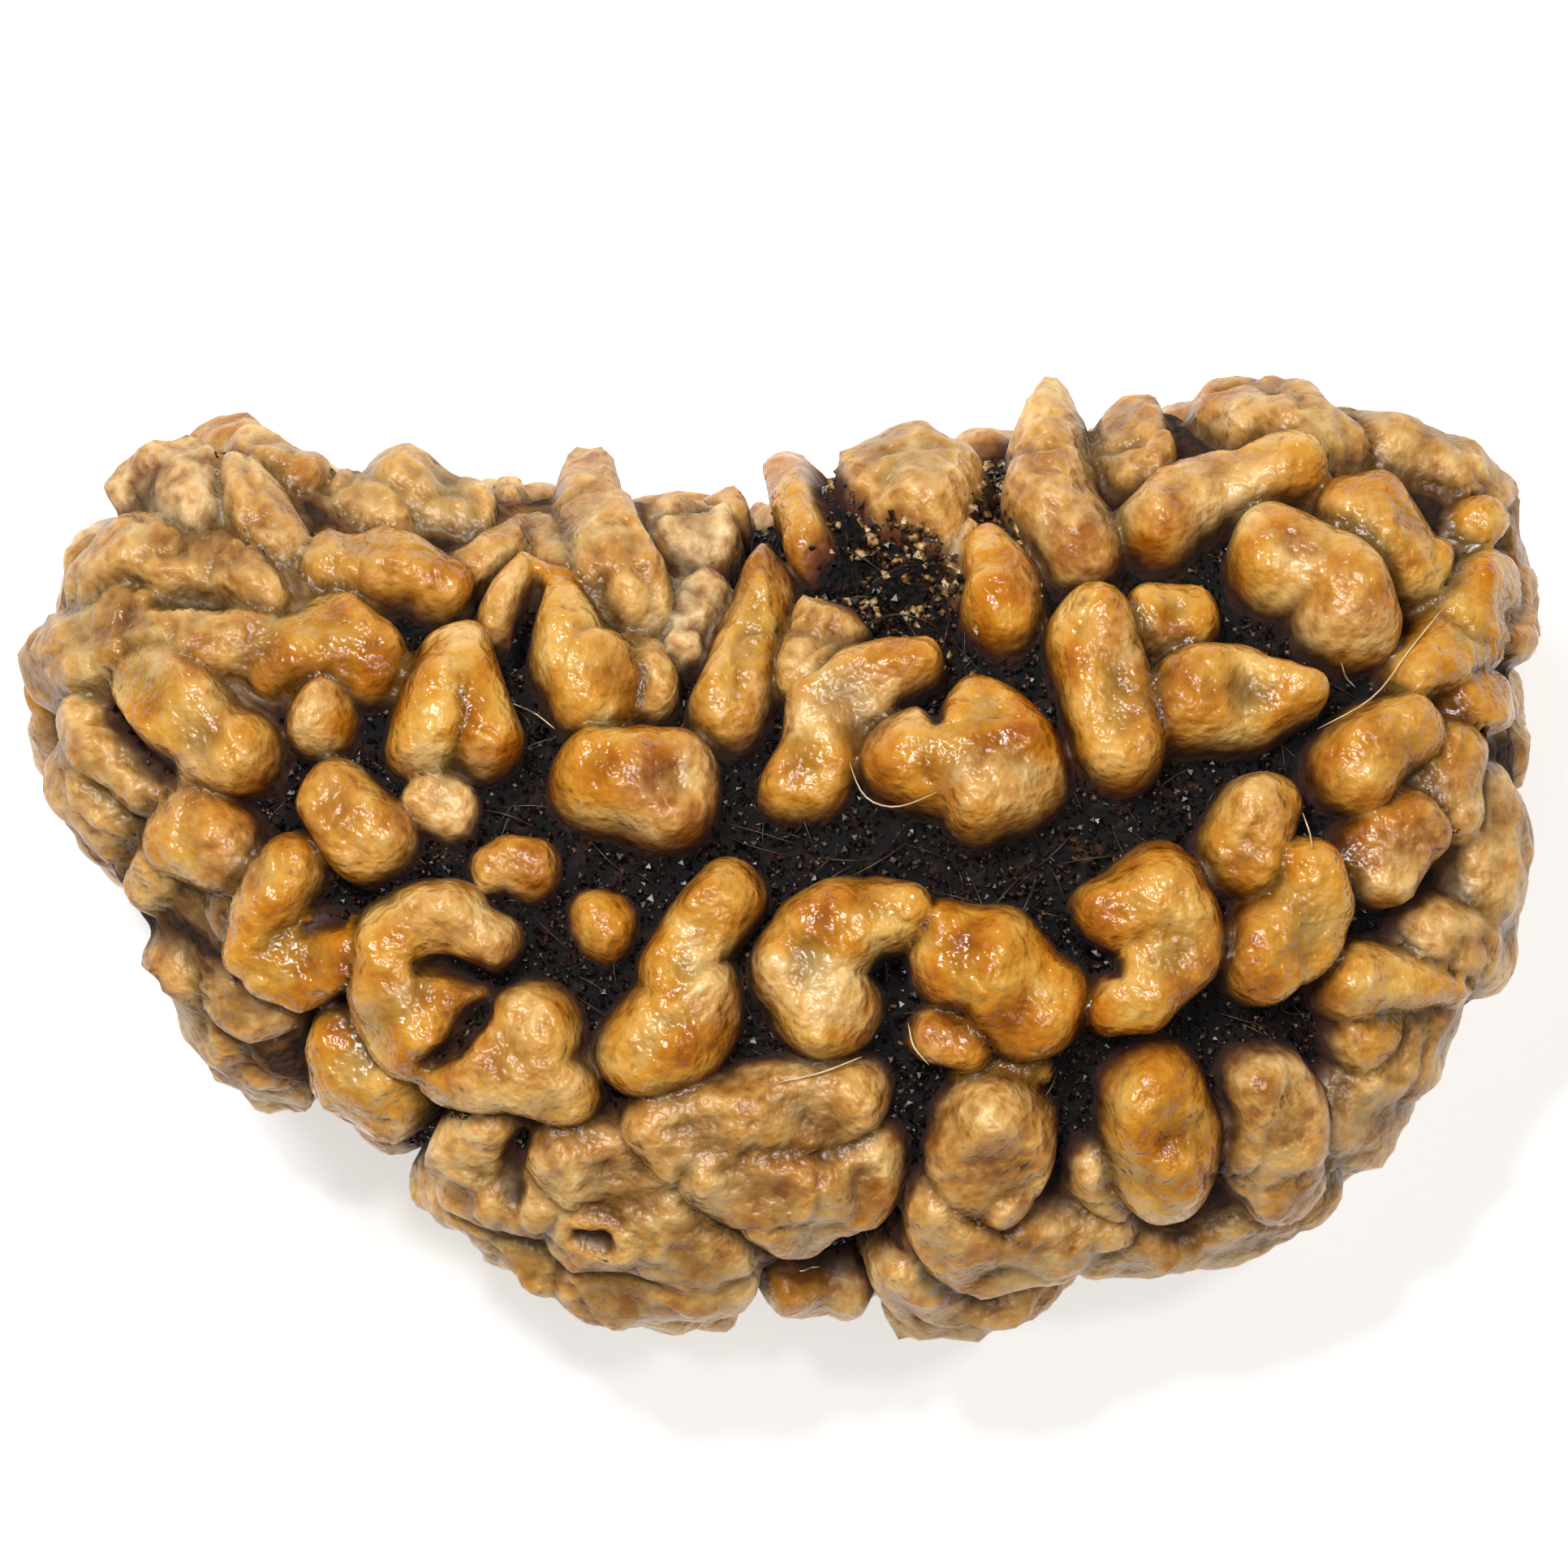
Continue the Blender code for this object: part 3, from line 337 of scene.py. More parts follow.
# Index of the body point that, lifted off along its normal, is nearest to (x, y) in plan. Of
# points about as near, the highest wins, and none that faces away is taken.
def rootUnder(points, normals, x, y, lift, facing):
    tips = points + normals * lift
    gap = (tips[:, 0] - x) ** 2 + (tips[:, 1] - y) ** 2
    gap = gap - stone["crestPull"] * facing * tips[:, 2]
    gap = np.where(facing * normals[:, 2] > stone["facingLimit"], gap, np.inf)
    return int(np.argmin(gap))


# Places in plan, with straight steps no longer than pathStep, set down on the body.
def rootedPath(points, normals, places, height, facing=1):
    places = np.asarray(places, float)
    dense = [places[0]]
    for start, end in zip(places[:-1], places[1:]):
        length = np.hypot(end[0] - start[0], end[1] - start[1])
        count = max(1, math.ceil(length / stone["pathStep"]))
        for step in range(1, count + 1):
            dense.append(start + (end - start) * step / count)
    dense = np.array(dense)
    lift = stone["tipShare"] * height
    roots = [rootUnder(points, normals, x, y, lift, facing) for x, y, radius in dense]
    return points[roots], dense[:, 2] * stone["knobSpread"]


# Knobs by rule: seeded tries at random places that turn away from the viewer of the front,
# each a short bending walk over the body, kept where it clears every path already there.
def spreadKnobs(points, normals, taken):
    rng = np.random.default_rng(knobs["spreadSeed"])
    takenPoints = np.vstack([path for path, radii in taken])
    takenRadii = np.concatenate([radii for path, radii in taken])
    hidden = np.flatnonzero(normals[:, 2] < knobs["spreadTurn"])
    found = []
    for share, count, step, small, large, height in knobs["spreadKinds"]:
        for attempt in range(int(knobs["spreadTries"] * share)):
            spot = rng.choice(hidden)
            heading = rng.uniform(0, 2 * math.pi)
            bend = rng.uniform(*knobs["spreadBend"]) * rng.choice((-1, 1))
            radius = rng.uniform(small, large)
            tall = height * rng.uniform(*knobs["spreadHeight"])
            if normals[spot, 2] > knobs["spreadRim"]:
                tall = tall * knobs["spreadRimShare"]
            spots = [spot]
            for link in range(count - 1):
                normal = normals[spot]
                east = np.cross((0.0, 1.0, 0.0), normal)
                east = east / np.linalg.norm(east)
                north = np.cross(normal, east)
                ahead = points[spot] + step * (math.cos(heading) * east + math.sin(heading) * north)
                spot = int(np.argmin(np.sum((points - ahead) ** 2, axis=1)))
                spots.append(spot)
                heading = heading + bend
            path = points[spots]
            radii = radius * np.linspace(1.0, knobs["spreadTaper"], count)
            gaps = np.linalg.norm(path[:, None] - takenPoints[None], axis=2)
            if (gaps - radii[:, None] - takenRadii[None]).min() < knobs["spreadGap"]:
                continue
            takenPoints = np.vstack((takenPoints, path))
            takenRadii = np.concatenate((takenRadii, radii))
            found.append((tall, path, radii))
    return found


# Distance from a path of balls as a share of the ball's radius there: 1 on the knob's rim.
def distanceShare(points, path, radii):
    if len(path) == 1:
        return np.linalg.norm(points - path[0], axis=1) / radii[0]
    share = np.full(len(points), np.inf)
    for start, end, first, last in zip(path[:-1], path[1:], radii[:-1], radii[1:]):
        run = end - start
        length = max(float(run @ run), 1e-12)
        part = np.clip((points - start) @ run / length, 0, 1)
        gap = np.linalg.norm(points - start - part[:, None] * run, axis=1)
        share = np.minimum(share, gap / (first + part * (last - first)))
    return share


# A few slow sine waves across the axes shift the points, so that no knob is regular.
def wander(points):
    shift = np.zeros_like(points)
    start, cross = stone["wanderPhases"]
    for turn, wave in enumerate(stone["wanderWaves"]):
        phase = 2 * math.pi * np.roll(points, 1 + turn, axis=1) / wave
        shift += np.sin(phase + start * turn + cross * np.roll(phase, 1, axis=1))
    return points + stone["wander"] * shift


# The larger of two heights, rounded by a parabola where they differ by less than blend.
def softMax(first, second, blend):
    near = np.maximum(blend - np.abs(first - second), 0)
    return np.maximum(first, second) + near ** 2 / (4 * blend)


# Height over the body: pillow profiles root(1 - share^dome) joined by fillets, less the clefts.
# Beside it come the bare profile of the knobs, 1 on a crest and below 0 in a groove, the finish
# of whatever is on top (paleness, dryness, tint and how clean the groove is), and the seams: 1
# where two knobs meet at one height, 0 where they differ by seamReach or lie in a groove.
def relief(points, forms, clefts):
    alongTurn, acrossTurn, upTurn = stone["swellTurns"]
    waves = np.sin(points[:, 0] * alongTurn) * np.sin(points[:, 1] * acrossTurn + points[:, 2] * upTurn)
    swell = 1 + stone["swellShare"] * waves
    points = wander(points)
    height = np.full(len(points), -1.0)
    rise = np.full(len(points), -1.0)
    finish = np.zeros((len(points), 4))
    seam = np.zeros(len(points))
    for tall, path, radii, look in forms:
        path = wander(path)
        middle = path.mean(axis=0)
        reach = np.linalg.norm(path - middle, axis=1).max()
        reach = reach + stone["knobReach"] * radii.max()
        near = np.flatnonzero(np.sum((points - middle) ** 2, axis=1) < reach ** 2)
        share = distanceShare(points[near], path, radii)
        inside = np.sqrt(np.maximum(1 - share ** stone["knobDome"], 0))
        outside = stone["knobSideFall"] * np.maximum(share - 1, 0)
        profile = inside - outside
        added = tall * swell[near] * profile
        values = len(look)
        if values < 4:
            over = np.clip((added - height[near]) / (2 * stone["knobMerge"]) + 0.5, 0, 1)
            meet = np.clip(1 - np.abs(added - height[near]) / stone["seamReach"], 0, 1)
            meet = meet * np.clip(np.minimum(added, height[near]) * stone["seamFade"], 0, 1)
            seam[near] = np.maximum(seam[near] * (1 - over), meet)
            rise[near] = softMax(rise[near], profile, stone["knobMerge"])
        else:
            over = np.clip(profile * stone["moundEdge"], 0, 1)
        finish[near, :values] += (np.array(look) - finish[near, :values]) * over[:, None]
        height[near] = softMax(height[near], added, stone["knobMerge"])
    height = softMax(height, np.zeros(len(points)), stone["rootFlare"])
    for deep, path, radii in clefts:
        share = distanceShare(points, wander(path), radii)
        sunk = np.maximum(1 - share ** 2, 0)
        height = height - deep * sunk
        rise = rise - stone["cleftRise"] * deep * sunk
        finish[:, 3] = finish[:, 3] * (1 - sunk)
    return height, rise, finish, seam


# Smooth noise: seeded random values on a block of cells, blended between the eight nearest.
noiseCells = 48
noiseBlock = np.random.default_rng(5).uniform(-1, 1, (noiseCells,) * 3)


def softNoise(points, wave, shift=0.0):
    spot = points / wave + shift
    cell = np.floor(spot).astype(int)
    part = spot - cell
    part = part * part * (3 - 2 * part)
    total = np.zeros(len(points))
    for corner in np.ndindex(2, 2, 2):
        weight = np.prod(np.where(corner, part, 1 - part), axis=1)
        index = (cell + corner) % noiseCells
        total += weight * noiseBlock[index[:, 0], index[:, 1], index[:, 2]]
    return total


# A cube's six faces as even grids, blown up to a ball: tan spreads the lines evenly in angle.
# Points on shared edges are welded, and the faces are turned to look outwards.
def ballGrid(size):
    line = np.tan(np.linspace(-1, 1, size + 1) * math.pi / 4)
    u, v = (axis.ravel() for axis in np.meshgrid(line, line, indexing="ij"))
    one = np.ones_like(u)
    sheets = []
    quads = []
    index = np.arange((size + 1) ** 2).reshape(size + 1, size + 1)
    square = np.stack((index[:-1, :-1], index[1:, :-1], index[1:, 1:], index[:-1, 1:]), axis=-1)
    square = square.reshape(-1, 4)
    for axis in range(3):
        for sign in (-1, 1):
            sheet = np.roll(np.column_stack((sign * one, u, v)), axis, axis=1)
            quads.append((square if sign > 0 else square[:, ::-1]) + len(sheets) * len(u))
            sheets.append(sheet)
    points = unit(np.vstack(sheets))
    keys = np.round(points * 1e6).astype(np.int64)
    unique, first, inverse = np.unique(keys, axis=0, return_index=True, return_inverse=True)
    return points[first], inverse.ravel()[np.vstack(quads)]


# Every pair of neighbours in a mesh of quads, once.
def edgePairs(quads):
    pairs = np.vstack([quads[:, [a, b]] for a, b in ((0, 1), (1, 2), (2, 3), (3, 0))])
    return np.unique(np.sort(pairs, axis=1), axis=0)


# Sum over each point's neighbours of one number a pair.
def neighbourSum(pairs, numbers, count):
    return np.bincount(pairs[:, 0], numbers, count) + np.bincount(pairs[:, 1], numbers, count)


# Weighted mean of each point's neighbours: values is one row per point.
def neighbourMean(values, pairs, weights, count):
    a, b = pairs.T
    total = neighbourSum(pairs, weights, count)
    mean = np.empty_like(values)
    for column in range(values.shape[1]):
        pull = np.bincount(a, weights * values[b, column], count)
        pull = pull + np.bincount(b, weights * values[a, column], count)
        mean[:, column] = pull / total
    return mean


# One piece from whole arrays of points and faces, with named values stored on its points.
def meshPiece(name, points, faces, values=None):
    mesh = bpy.data.meshes.new(name)
    mesh.from_pydata(points.tolist(), [], faces if isinstance(faces, list) else faces.tolist())
    for label, numbers in (values or {}).items():
        layer = mesh.attributes.new(label, "FLOAT", "POINT")
        layer.data.foreach_set("value", np.asarray(numbers, np.float32))
    mesh.shade_smooth()
    piece = bpy.data.objects.new(name, mesh)
    bpy.context.scene.collection.objects.link(piece)
    return piece


# Stations spread by arc length: the polar angle of each direction is read off the body's
# outline, so that even steps in angle become even steps over the blunt ends.
def evenDirections(directions):
    angle = (1 - np.cos(np.linspace(0, math.pi, stone["outlineSteps"]))) * math.pi / 2
    station = np.cos(angle)
    ends = stone["endBluntness"]
    swell = np.maximum(1 - np.abs(station) ** ends, 0) ** (1 / ends)
    steps = np.hypot(np.diff(station * stone["halfLength"]), np.diff(swell * stone["meanHalfWidth"]))
    length = np.concatenate(([0.0], np.cumsum(steps)))
    wanted = np.arccos(np.clip(directions[:, 0], -1, 1)) / math.pi * length[-1]
    polar = np.interp(wanted, length, angle)
    ring = unit(directions[:, 1:])
    return np.column_stack((np.cos(polar), np.sin(polar)[:, None] * ring))


# Fine relief, in millimetres: reach and wave length of each sum of smooth noises. Each noise
# reads its own part of the block, set by its shift.
grainForms = {
    "dents": ((0.060, 0.90), (0.045, 0.50)),
    "dentShift": 5.1,
    "wrinkles": ((0.040, 0.34), (0.020, 0.24)),
    "wrinkleShift": 0.0,
    "gravel": ((0.17, 0.38), (0.11, 0.22)),
    "gravelShift": 3.1,
    "crust": ((0.100, 0.42), (0.070, 0.22)),
    "crustShift": 17.9,
    "sumShift": 5.3,
    "floorLevel": 0.10,
    "floorFade": 1.5,
    "cleanShare": 0.8,
    "crestReach": 0.26,
    "crestWave": 1.40,
    "crestLevel": 0.35,
    "crestShift": 53.0,
    "foldReach": 0.12,
    "foldWave": 1.50,
    "foldHalfWidth": 0.11,
    "foldShift": 29.0,
    "foldPatchWave": 2.3,
    "foldPatchFade": 3.0,
    "foldPatchShift": 37.0,
    "paleFoldReach": 0.16,
    "paleFoldWave": 0.95,
    "paleFoldHalfWidth": 0.16,
    "paleFoldShift": 33.0,
    "scuffs": ((2.2, 1.10, 41.0), (0.9, 0.50, 47.0)),  # strength, wave length, shift
    "scuffLevel": 0.2,
    "scuffShare": 0.40,
}


# Sum of smooth noises, each at its own reach and wave length and from its own part of the block.
def grained(points, waves, shift):
    return sum(reach * softNoise(points, wave, shift + grainForms["sumShift"] * turn)
               for turn, (reach, wave) in enumerate(waves))


# Valley along each line where a smooth noise passes through zero: 1 on the line, 0 off it.
def foldLines(points, wave, halfWidth, shift):
    return np.clip(1 - np.abs(softNoise(points, wave, shift)) / halfWidth, 0, 1)


# Crests, dents, wrinkles and folds on the knobs, gravel on the groove floors and crumbs on the
# crust. A crest runs along each line where a smooth noise passes through zero, with flat sides
# falling away from it. The amber knobs fold in patches, the pale ones all over.
def fineRelief(points, rise, pale, dry, clean):
    form = grainForms
    floor = np.clip(form["floorLevel"] - rise * form["floorFade"], 0, 1) * (1 - form["cleanShare"] * clean)
    ridges = np.abs(softNoise(points, form["crestWave"], form["crestShift"]))
    crests = form["crestReach"] * (form["crestLevel"] - ridges)
    dents = grained(points, form["dents"], form["dentShift"]) + crests
    wrinkles = grained(points, form["wrinkles"], form["wrinkleShift"])
    gravel = grained(points, form["gravel"], form["gravelShift"])
    crust = grained(points, form["crust"], form["crustShift"])
    lines = foldLines(points, form["foldWave"], form["foldHalfWidth"], form["foldShift"])
    patches = softNoise(points, form["foldPatchWave"], form["foldPatchShift"]) * form["foldPatchFade"]
    folds = -form["foldReach"] * lines * np.clip(patches, 0, 1)
    lines = foldLines(points, form["paleFoldWave"], form["paleFoldHalfWidth"], form["paleFoldShift"])
    folds = folds - form["paleFoldReach"] * lines * pale
    return (dents + wrinkles + folds) * (1 - floor) + gravel * floor + crust * dry * (1 - floor)


# Scuffed spots, where the oil has worn off: the peaks of a two-wave noise, from 0 to 1.
def scuffs(points):
    broad, fine = (strength * softNoise(points, wave, shift)
                   for strength, wave, shift in grainForms["scuffs"])
    return grainForms["scuffShare"] * np.clip(broad + fine - grainForms["scuffLevel"], 0, 1)


# The whole stone: an even ball whose points drift towards their longer edges, so that steep
# knob sides get as many faces as flat tops, then the height set off along the body's normal. A
# crease is how far a point lies under the mean of its surroundings; the material paints shade
# into the colour by it, darker in creases and lighter on ridges.
def stoneSurface():
    lattice = latticeDirections(stone["latticeCount"])
    points = bodyPoints(lattice)
    normals = bodyNormals(lattice)
    tints = np.random.default_rng(stone["tintSeed"])
    front = []
    for tall, look, places in knobs["front"].values():
        path, radii = rootedPath(points, normals, places, tall)
        front.append((tall, path, radii, (*finishes[look], tints.uniform(-1, 1))))
    mounds = [(tall, *rootedPath(points, normals, places, tall), moundFinish)
              for tall, places in knobs["mounds"].values()]
    clefts = [(deep, *rootedPath(points, normals, places, 1.0))
              for deep, places in knobs["clefts"].values()]
    linePlaces = [(x, y, knobs["backLineRadius"]) for x, y in knobs["backLine"]]
    backLine = rootedPath(points, normals, linePlaces, 0.0, facing=-1)
    taken = [(path, radii) for tall, path, radii, look in front] + [backLine]
    spread = [(tall, path, radii, (*tints.uniform(0, knobs["spreadFinish"], 2), tints.uniform(-1, 1)))
              for tall, path, radii in spreadKnobs(points, normals, taken)]
    forms = mounds + front + spread
    print("knobs placed:", len(front), "in front,", len(spread), "around")

    size = stone["gridSize"]
    directions, quads = ballGrid(size)
    pairs = edgePairs(quads)
    rounds = stone["settleRounds"]
    for turn in range(rounds + 1):
        even = evenDirections(directions)
        base = bodyPoints(even)
        outward = bodyNormals(even)
        height, rise, finish, seam = relief(base, forms, clefts)
        surface = base + outward * height[:, None]
        if turn == rounds:
            break
        ends = pairs[:, 0], pairs[:, 1]
        length = np.linalg.norm(surface[ends[0]] - surface[ends[1]], axis=1)
        plain = np.linalg.norm(directions[ends[0]] - directions[ends[1]], axis=1)
        count = len(directions)
        stretch = neighbourSum(pairs, length, count) / neighbourSum(pairs, plain, count)
        stretch = neighbourMean(stretch[:, None], pairs, np.ones(len(pairs)), count)[:, 0]
        facing = np.clip(outward[:, 2] + stone["frontStart"], 0, 1)
        stretch = stretch * (1 + stone["frontCare"] * facing)
        pull = stretch[ends[0]] + stretch[ends[1]]
        for step in range(stone["settleSteps"]):
            directions = unit(directions + neighbourMean(directions, pairs, pull, count))
    fine = fineRelief(surface, rise, *finish[:, [0, 1, 3]].T) - stone["seamDepth"] * seam
    finish[:, 1] = np.maximum(finish[:, 1], scuffs(base))
    surface = base + outward * (height + fine)[:, None]
    even = np.ones(len(pairs))
    broad = (height + fine)[:, None]
    for turn in range(stone["creaseRounds"]):
        broad = neighbourMean(broad, pairs, even, len(directions))
    crease = height + fine - broad[:, 0]
    ground = surface[:, 2].min() + stone["footDepth"]
    surface[:, 2] = np.maximum(surface[:, 2], ground)
    values = {"rise": rise, "pale": finish[:, 0], "dry": finish[:, 1], "tint": finish[:, 2],
              "clean": finish[:, 3], "crease": crease}
    return surface, quads, outward, values


# sRGB hex to linear: c / 12.92 for the darkest values, else ((c + 0.055) / 1.055) to the power 2.4.
def colour(hexValue):
    shares = [int(hexValue[start:start + 2], 16) / 255 for start in (1, 3, 5)]
    linear = [c / 12.92 if c <= 0.04045 else ((c + 0.055) / 1.055) ** 2.4 for c in shares]
    return (*linear, 1.0)


# One node. Settings are its own properties, inputs go to its sockets by name or number, and are
# linked where they are another node's output. Stops fill a colour ramp as (place, hex).
def addNode(tree, kind, inputs=None, stops=(), **settings):
    node = tree.nodes.new(kind)
    for name, value in settings.items():
        setattr(node, name, value)
    for socket, value in (inputs or {}).items():
        if isinstance(value, bpy.types.NodeSocket):
            tree.links.new(value, node.inputs[socket])
        else:
            node.inputs[socket].default_value = value
    for index, (place, hexValue) in enumerate(stops):
        ramp = node.color_ramp.elements
        stop = ramp[index] if index < 2 else ramp.new(place)
        stop.position = place
        stop.color = colour(hexValue)
    return node


# A new material with its node tree, its main shader and the piece's own coordinates.
def startMaterial(name):
    material = bpy.data.materials.new(name)
    material.use_nodes = True
    tree = material.node_tree
    place = addNode(tree, "ShaderNodeTexCoord").outputs["Object"]
    return material, tree, tree.nodes["Principled BSDF"], place


# Colours and grain of the stone; waves, sizes and bumps are real lengths in metres
stoneLook = {
    "patchWave": 0.0012,
    "driftWave": 0.0030,
    "grainWave": 0.00027,
    "fleckWave": 0.00045,
    "crumbSize": 0.00016,
    "mottle": 0.42,
    "tintReach": 0.035,
    "raggedReach": 0.55,
    "amber": ((0.34, "#904E0C"), (0.44, "#AA6814"), (0.54, "#B8802A"), (0.68, "#C69C52")),
    "belly": ((0.35, "#96601E"), (0.50, "#B07E34"), (0.66, "#C8A05A")),
    "crust": ((0.36, "#7E4E2A"), (0.48, "#B88F58"), (0.64, "#D8BC8C")),
    "pulp": ((0.42, "#050303"), (0.56, "#140A06"), (0.70, "#482A18")),
    # clean grooves and the knobs' feet: dark browns, partly the stone's own colour and partly painted shade
    "cleanGroove": "#48290F",
    "root": "#4E240B",
    "cleanRoot": "#764A1C",
    "fleck": "#6A3A18",
    "floorRoughness": 0.95,
    "topRoughness": 0.12,
    "dryRoughness": 0.18,
    "paleRoughness": 0.12,
    "fleckRoughness": 0.18,
    "specular": 0.44,
    "grainBump": 0.000130,
    "sideBump": 0.000020,
    "fleckBump": 0.000090,
    "crumbBump": 0.00014,
}


# Rudraksha stone, the woody core of the fruit, scrubbed, dried and rubbed with oil. The knobs are
# polished by handling to a warm golden brown with a wet shine, their sides go dull and dark, partly
# in their own colour and partly in painted shade, and the grooves keep near-black dried pulp. Creases
# carry painted shade and ridges painted light. Where it was never rubbed it is a pale dry crust.
def oiledStone():
    material, tree, shader, place = startMaterial("oiled rudraksha stone")
    rise, pale, dry, tint, clean, crease = (
        addNode(tree, "ShaderNodeAttribute", attribute_name=label).outputs["Fac"]
        for label in ("rise", "pale", "dry", "tint", "clean", "crease"))
    patches = addNode(tree, "ShaderNodeTexNoise", {
        "Vector": place, "Scale": 1 / stoneLook["patchWave"], "Detail": 3.0, "Roughness": 0.6}).outputs["Fac"]
    drift = addNode(tree, "ShaderNodeTexNoise", {
        "Vector": place, "Scale": 1 / stoneLook["driftWave"], "Detail": 2.0}).outputs["Fac"]
    grain = addNode(tree, "ShaderNodeTexNoise", {
        "Vector": place, "Scale": 1 / stoneLook["grainWave"], "Detail": 2.0,
        "Roughness": 0.45}).outputs["Fac"]
    flecks = addNode(tree, "ShaderNodeTexNoise", {
        "Vector": place, "Scale": 1 / stoneLook["fleckWave"], "Detail": 2.0, "Roughness": 0.6}).outputs["Fac"]

    # each finish, then one over the other
    tinted = addNode(tree, "ShaderNodeMath", {
        0: tint, 1: stoneLook["tintReach"], 2: patches}, operation="MULTIPLY_ADD").outputs[0]
    amber = addNode(tree, "ShaderNodeValToRGB", {0: tinted}, stoneLook["amber"]).outputs[0]
    mottled = addNode(tree, "ShaderNodeMix", {0: stoneLook["mottle"], 2: tinted, 3: grain}).outputs[0]
    belly = addNode(tree, "ShaderNodeValToRGB", {0: mottled}, stoneLook["belly"]).outputs[0]
    crust = addNode(tree, "ShaderNodeValToRGB", {0: mottled}, stoneLook["crust"]).outputs[0]
    worn = addNode(tree, "ShaderNodeMapRange", {
        "Value": drift, "From Min": 0.40, "From Max": 0.62, "To Min": -0.15, "To Max": 0.55}).outputs[0]
    paleShare = addNode(tree, "ShaderNodeMath", {
        0: pale, 1: worn}, operation="ADD", use_clamp=True).outputs[0]
    tops = addNode(tree, "ShaderNodeMix", {0: paleShare, 6: amber, 7: belly}, data_type="RGBA").outputs[2]
    tops = addNode(tree, "ShaderNodeMix", {0: dry, 6: tops, 7: crust}, data_type="RGBA").outputs[2]
    fleckShare = addNode(tree, "ShaderNodeMapRange", {
        "Value": flecks, "From Min": 0.67, "From Max": 0.77, "To Max": 0.55}).outputs[0]
    tops = addNode(tree, "ShaderNodeMix", {
        0: fleckShare, 6: tops, 7: colour(stoneLook["fleck"])}, data_type="RGBA").outputs[2]

    # groove floor, root of the knob's side, then the top, with an uneven edge. The root and clean groove
    # browns are partly the stone's own colour and partly painted shade at the knobs' feet and between them.
    pulp = addNode(tree, "ShaderNodeValToRGB", {0: flecks}, stoneLook["pulp"]).outputs[0]
    floor = addNode(tree, "ShaderNodeMix", {
        0: clean, 6: pulp, 7: colour(stoneLook["cleanGroove"])}, data_type="RGBA").outputs[2]
    ragged = addNode(tree, "ShaderNodeMath", {
        0: grain, 1: stoneLook["raggedReach"], 2: rise}, operation="MULTIPLY_ADD").outputs[0]
    rootShare = addNode(tree, "ShaderNodeMapRange", {
        "Value": ragged, "From Min": 0.18, "From Max": 0.42}, interpolation_type="SMOOTHSTEP").outputs[0]
    topShare = addNode(tree, "ShaderNodeMapRange", {
        "Value": ragged, "From Min": 0.42, "From Max": 1.26}, interpolation_type="SMOOTHSTEP").outputs[0]
    root = addNode(tree, "ShaderNodeMix", {
        0: clean, 6: colour(stoneLook["root"]), 7: colour(stoneLook["cleanRoot"])},
        data_type="RGBA").outputs[2]
    skin = addNode(tree, "ShaderNodeMix", {0: rootShare, 6: floor, 7: root}, data_type="RGBA").outputs[2]
    skin = addNode(tree, "ShaderNodeMix", {0: topShare, 6: skin, 7: tops}, data_type="RGBA").outputs[2]

    # painted shade: darker in creases; painted light: lighter on ridges
    shade = addNode(tree, "ShaderNodeMapRange", {
        "Value": crease, "From Min": -0.10, "From Max": 0.10, "To Min": 0.36, "To Max": 1.25}).outputs[0]
    skin = addNode(tree, "ShaderNodeMix", {
        0: 1.0, 6: skin, 7: shade}, data_type="RGBA", blend_type="MULTIPLY").outputs[2]
    tree.links.new(skin, shader.inputs["Base Color"])

    # wet tops, dull sides and crust, broken up by the grain
    gloss = addNode(tree, "ShaderNodeMapRange", {
        "Value": rise, "From Min": 0.0, "From Max": 0.7, "To Min": stoneLook["floorRoughness"],
        "To Max": stoneLook["topRoughness"]}).outputs[0]
    gloss = addNode(tree, "ShaderNodeMath", {
        0: dry, 1: stoneLook["dryRoughness"], 2: gloss}, operation="MULTIPLY_ADD").outputs[0]
    gloss = addNode(tree, "ShaderNodeMath", {
        0: paleShare, 1: stoneLook["paleRoughness"], 2: gloss}, operation="MULTIPLY_ADD").outputs[0]
    gloss = addNode(tree, "ShaderNodeMath", {
        0: flecks, 1: stoneLook["fleckRoughness"], 2: gloss},
        operation="MULTIPLY_ADD", use_clamp=True).outputs[0]
    tree.links.new(gloss, shader.inputs["Roughness"])
    shader.inputs["Specular IOR Level"].default_value = stoneLook["specular"]

    # crumbs in the groove, grain on the knobs' tops, flecks all over
    crumbs = addNode(tree, "ShaderNodeTexVoronoi", {
        "Vector": place, "Scale": 1 / stoneLook["crumbSize"]}).outputs["Distance"]
    crumbDepth = addNode(tree, "ShaderNodeMapRange", {
        "Value": rise, "From Min": -0.1, "From Max": 0.2, "To Min": stoneLook["crumbBump"],
        "To Max": 0.0}).outputs[0]
    bump = addNode(tree, "ShaderNodeBump", {"Distance": crumbDepth, "Height": crumbs}, invert=True).outputs[0]
    grainDepth = addNode(tree, "ShaderNodeMapRange", {
        "Value": rise, "From Min": 0.45, "From Max": 0.90, "To Min": stoneLook["sideBump"],
        "To Max": stoneLook["grainBump"]}).outputs[0]
    bump = addNode(tree, "ShaderNodeBump", {
        "Distance": grainDepth, "Height": grain, "Normal": bump}).outputs[0]
    bump = addNode(tree, "ShaderNodeBump", {
        "Distance": stoneLook["fleckBump"], "Height": flecks, "Normal": bump}).outputs[0]
    tree.links.new(bump, shader.inputs["Normal"])
    return material


# Loose crumbs: a shade for each, by a noise whose wave, in metres, is about a crumb's size
crumbLooks = {
    "dried fruit pulp": {
        "wave": 0.00012,
        "shades": ((0.40, "#070404"), (0.54, "#1A0E09"), (0.64, "#3E2618"), (0.74, "#78604A")),
        "roughness": 0.30,
        "specular": 0.40,
    },
    "broken stone crumbs": {
        "wave": 0.00025,
        "shades": ((0.40, "#180D07"), (0.49, "#4A2C18"), (0.57, "#97703F"), (0.68, "#D8BE90")),
        "roughness": 0.35,
        "specular": 0.50,
    },
}


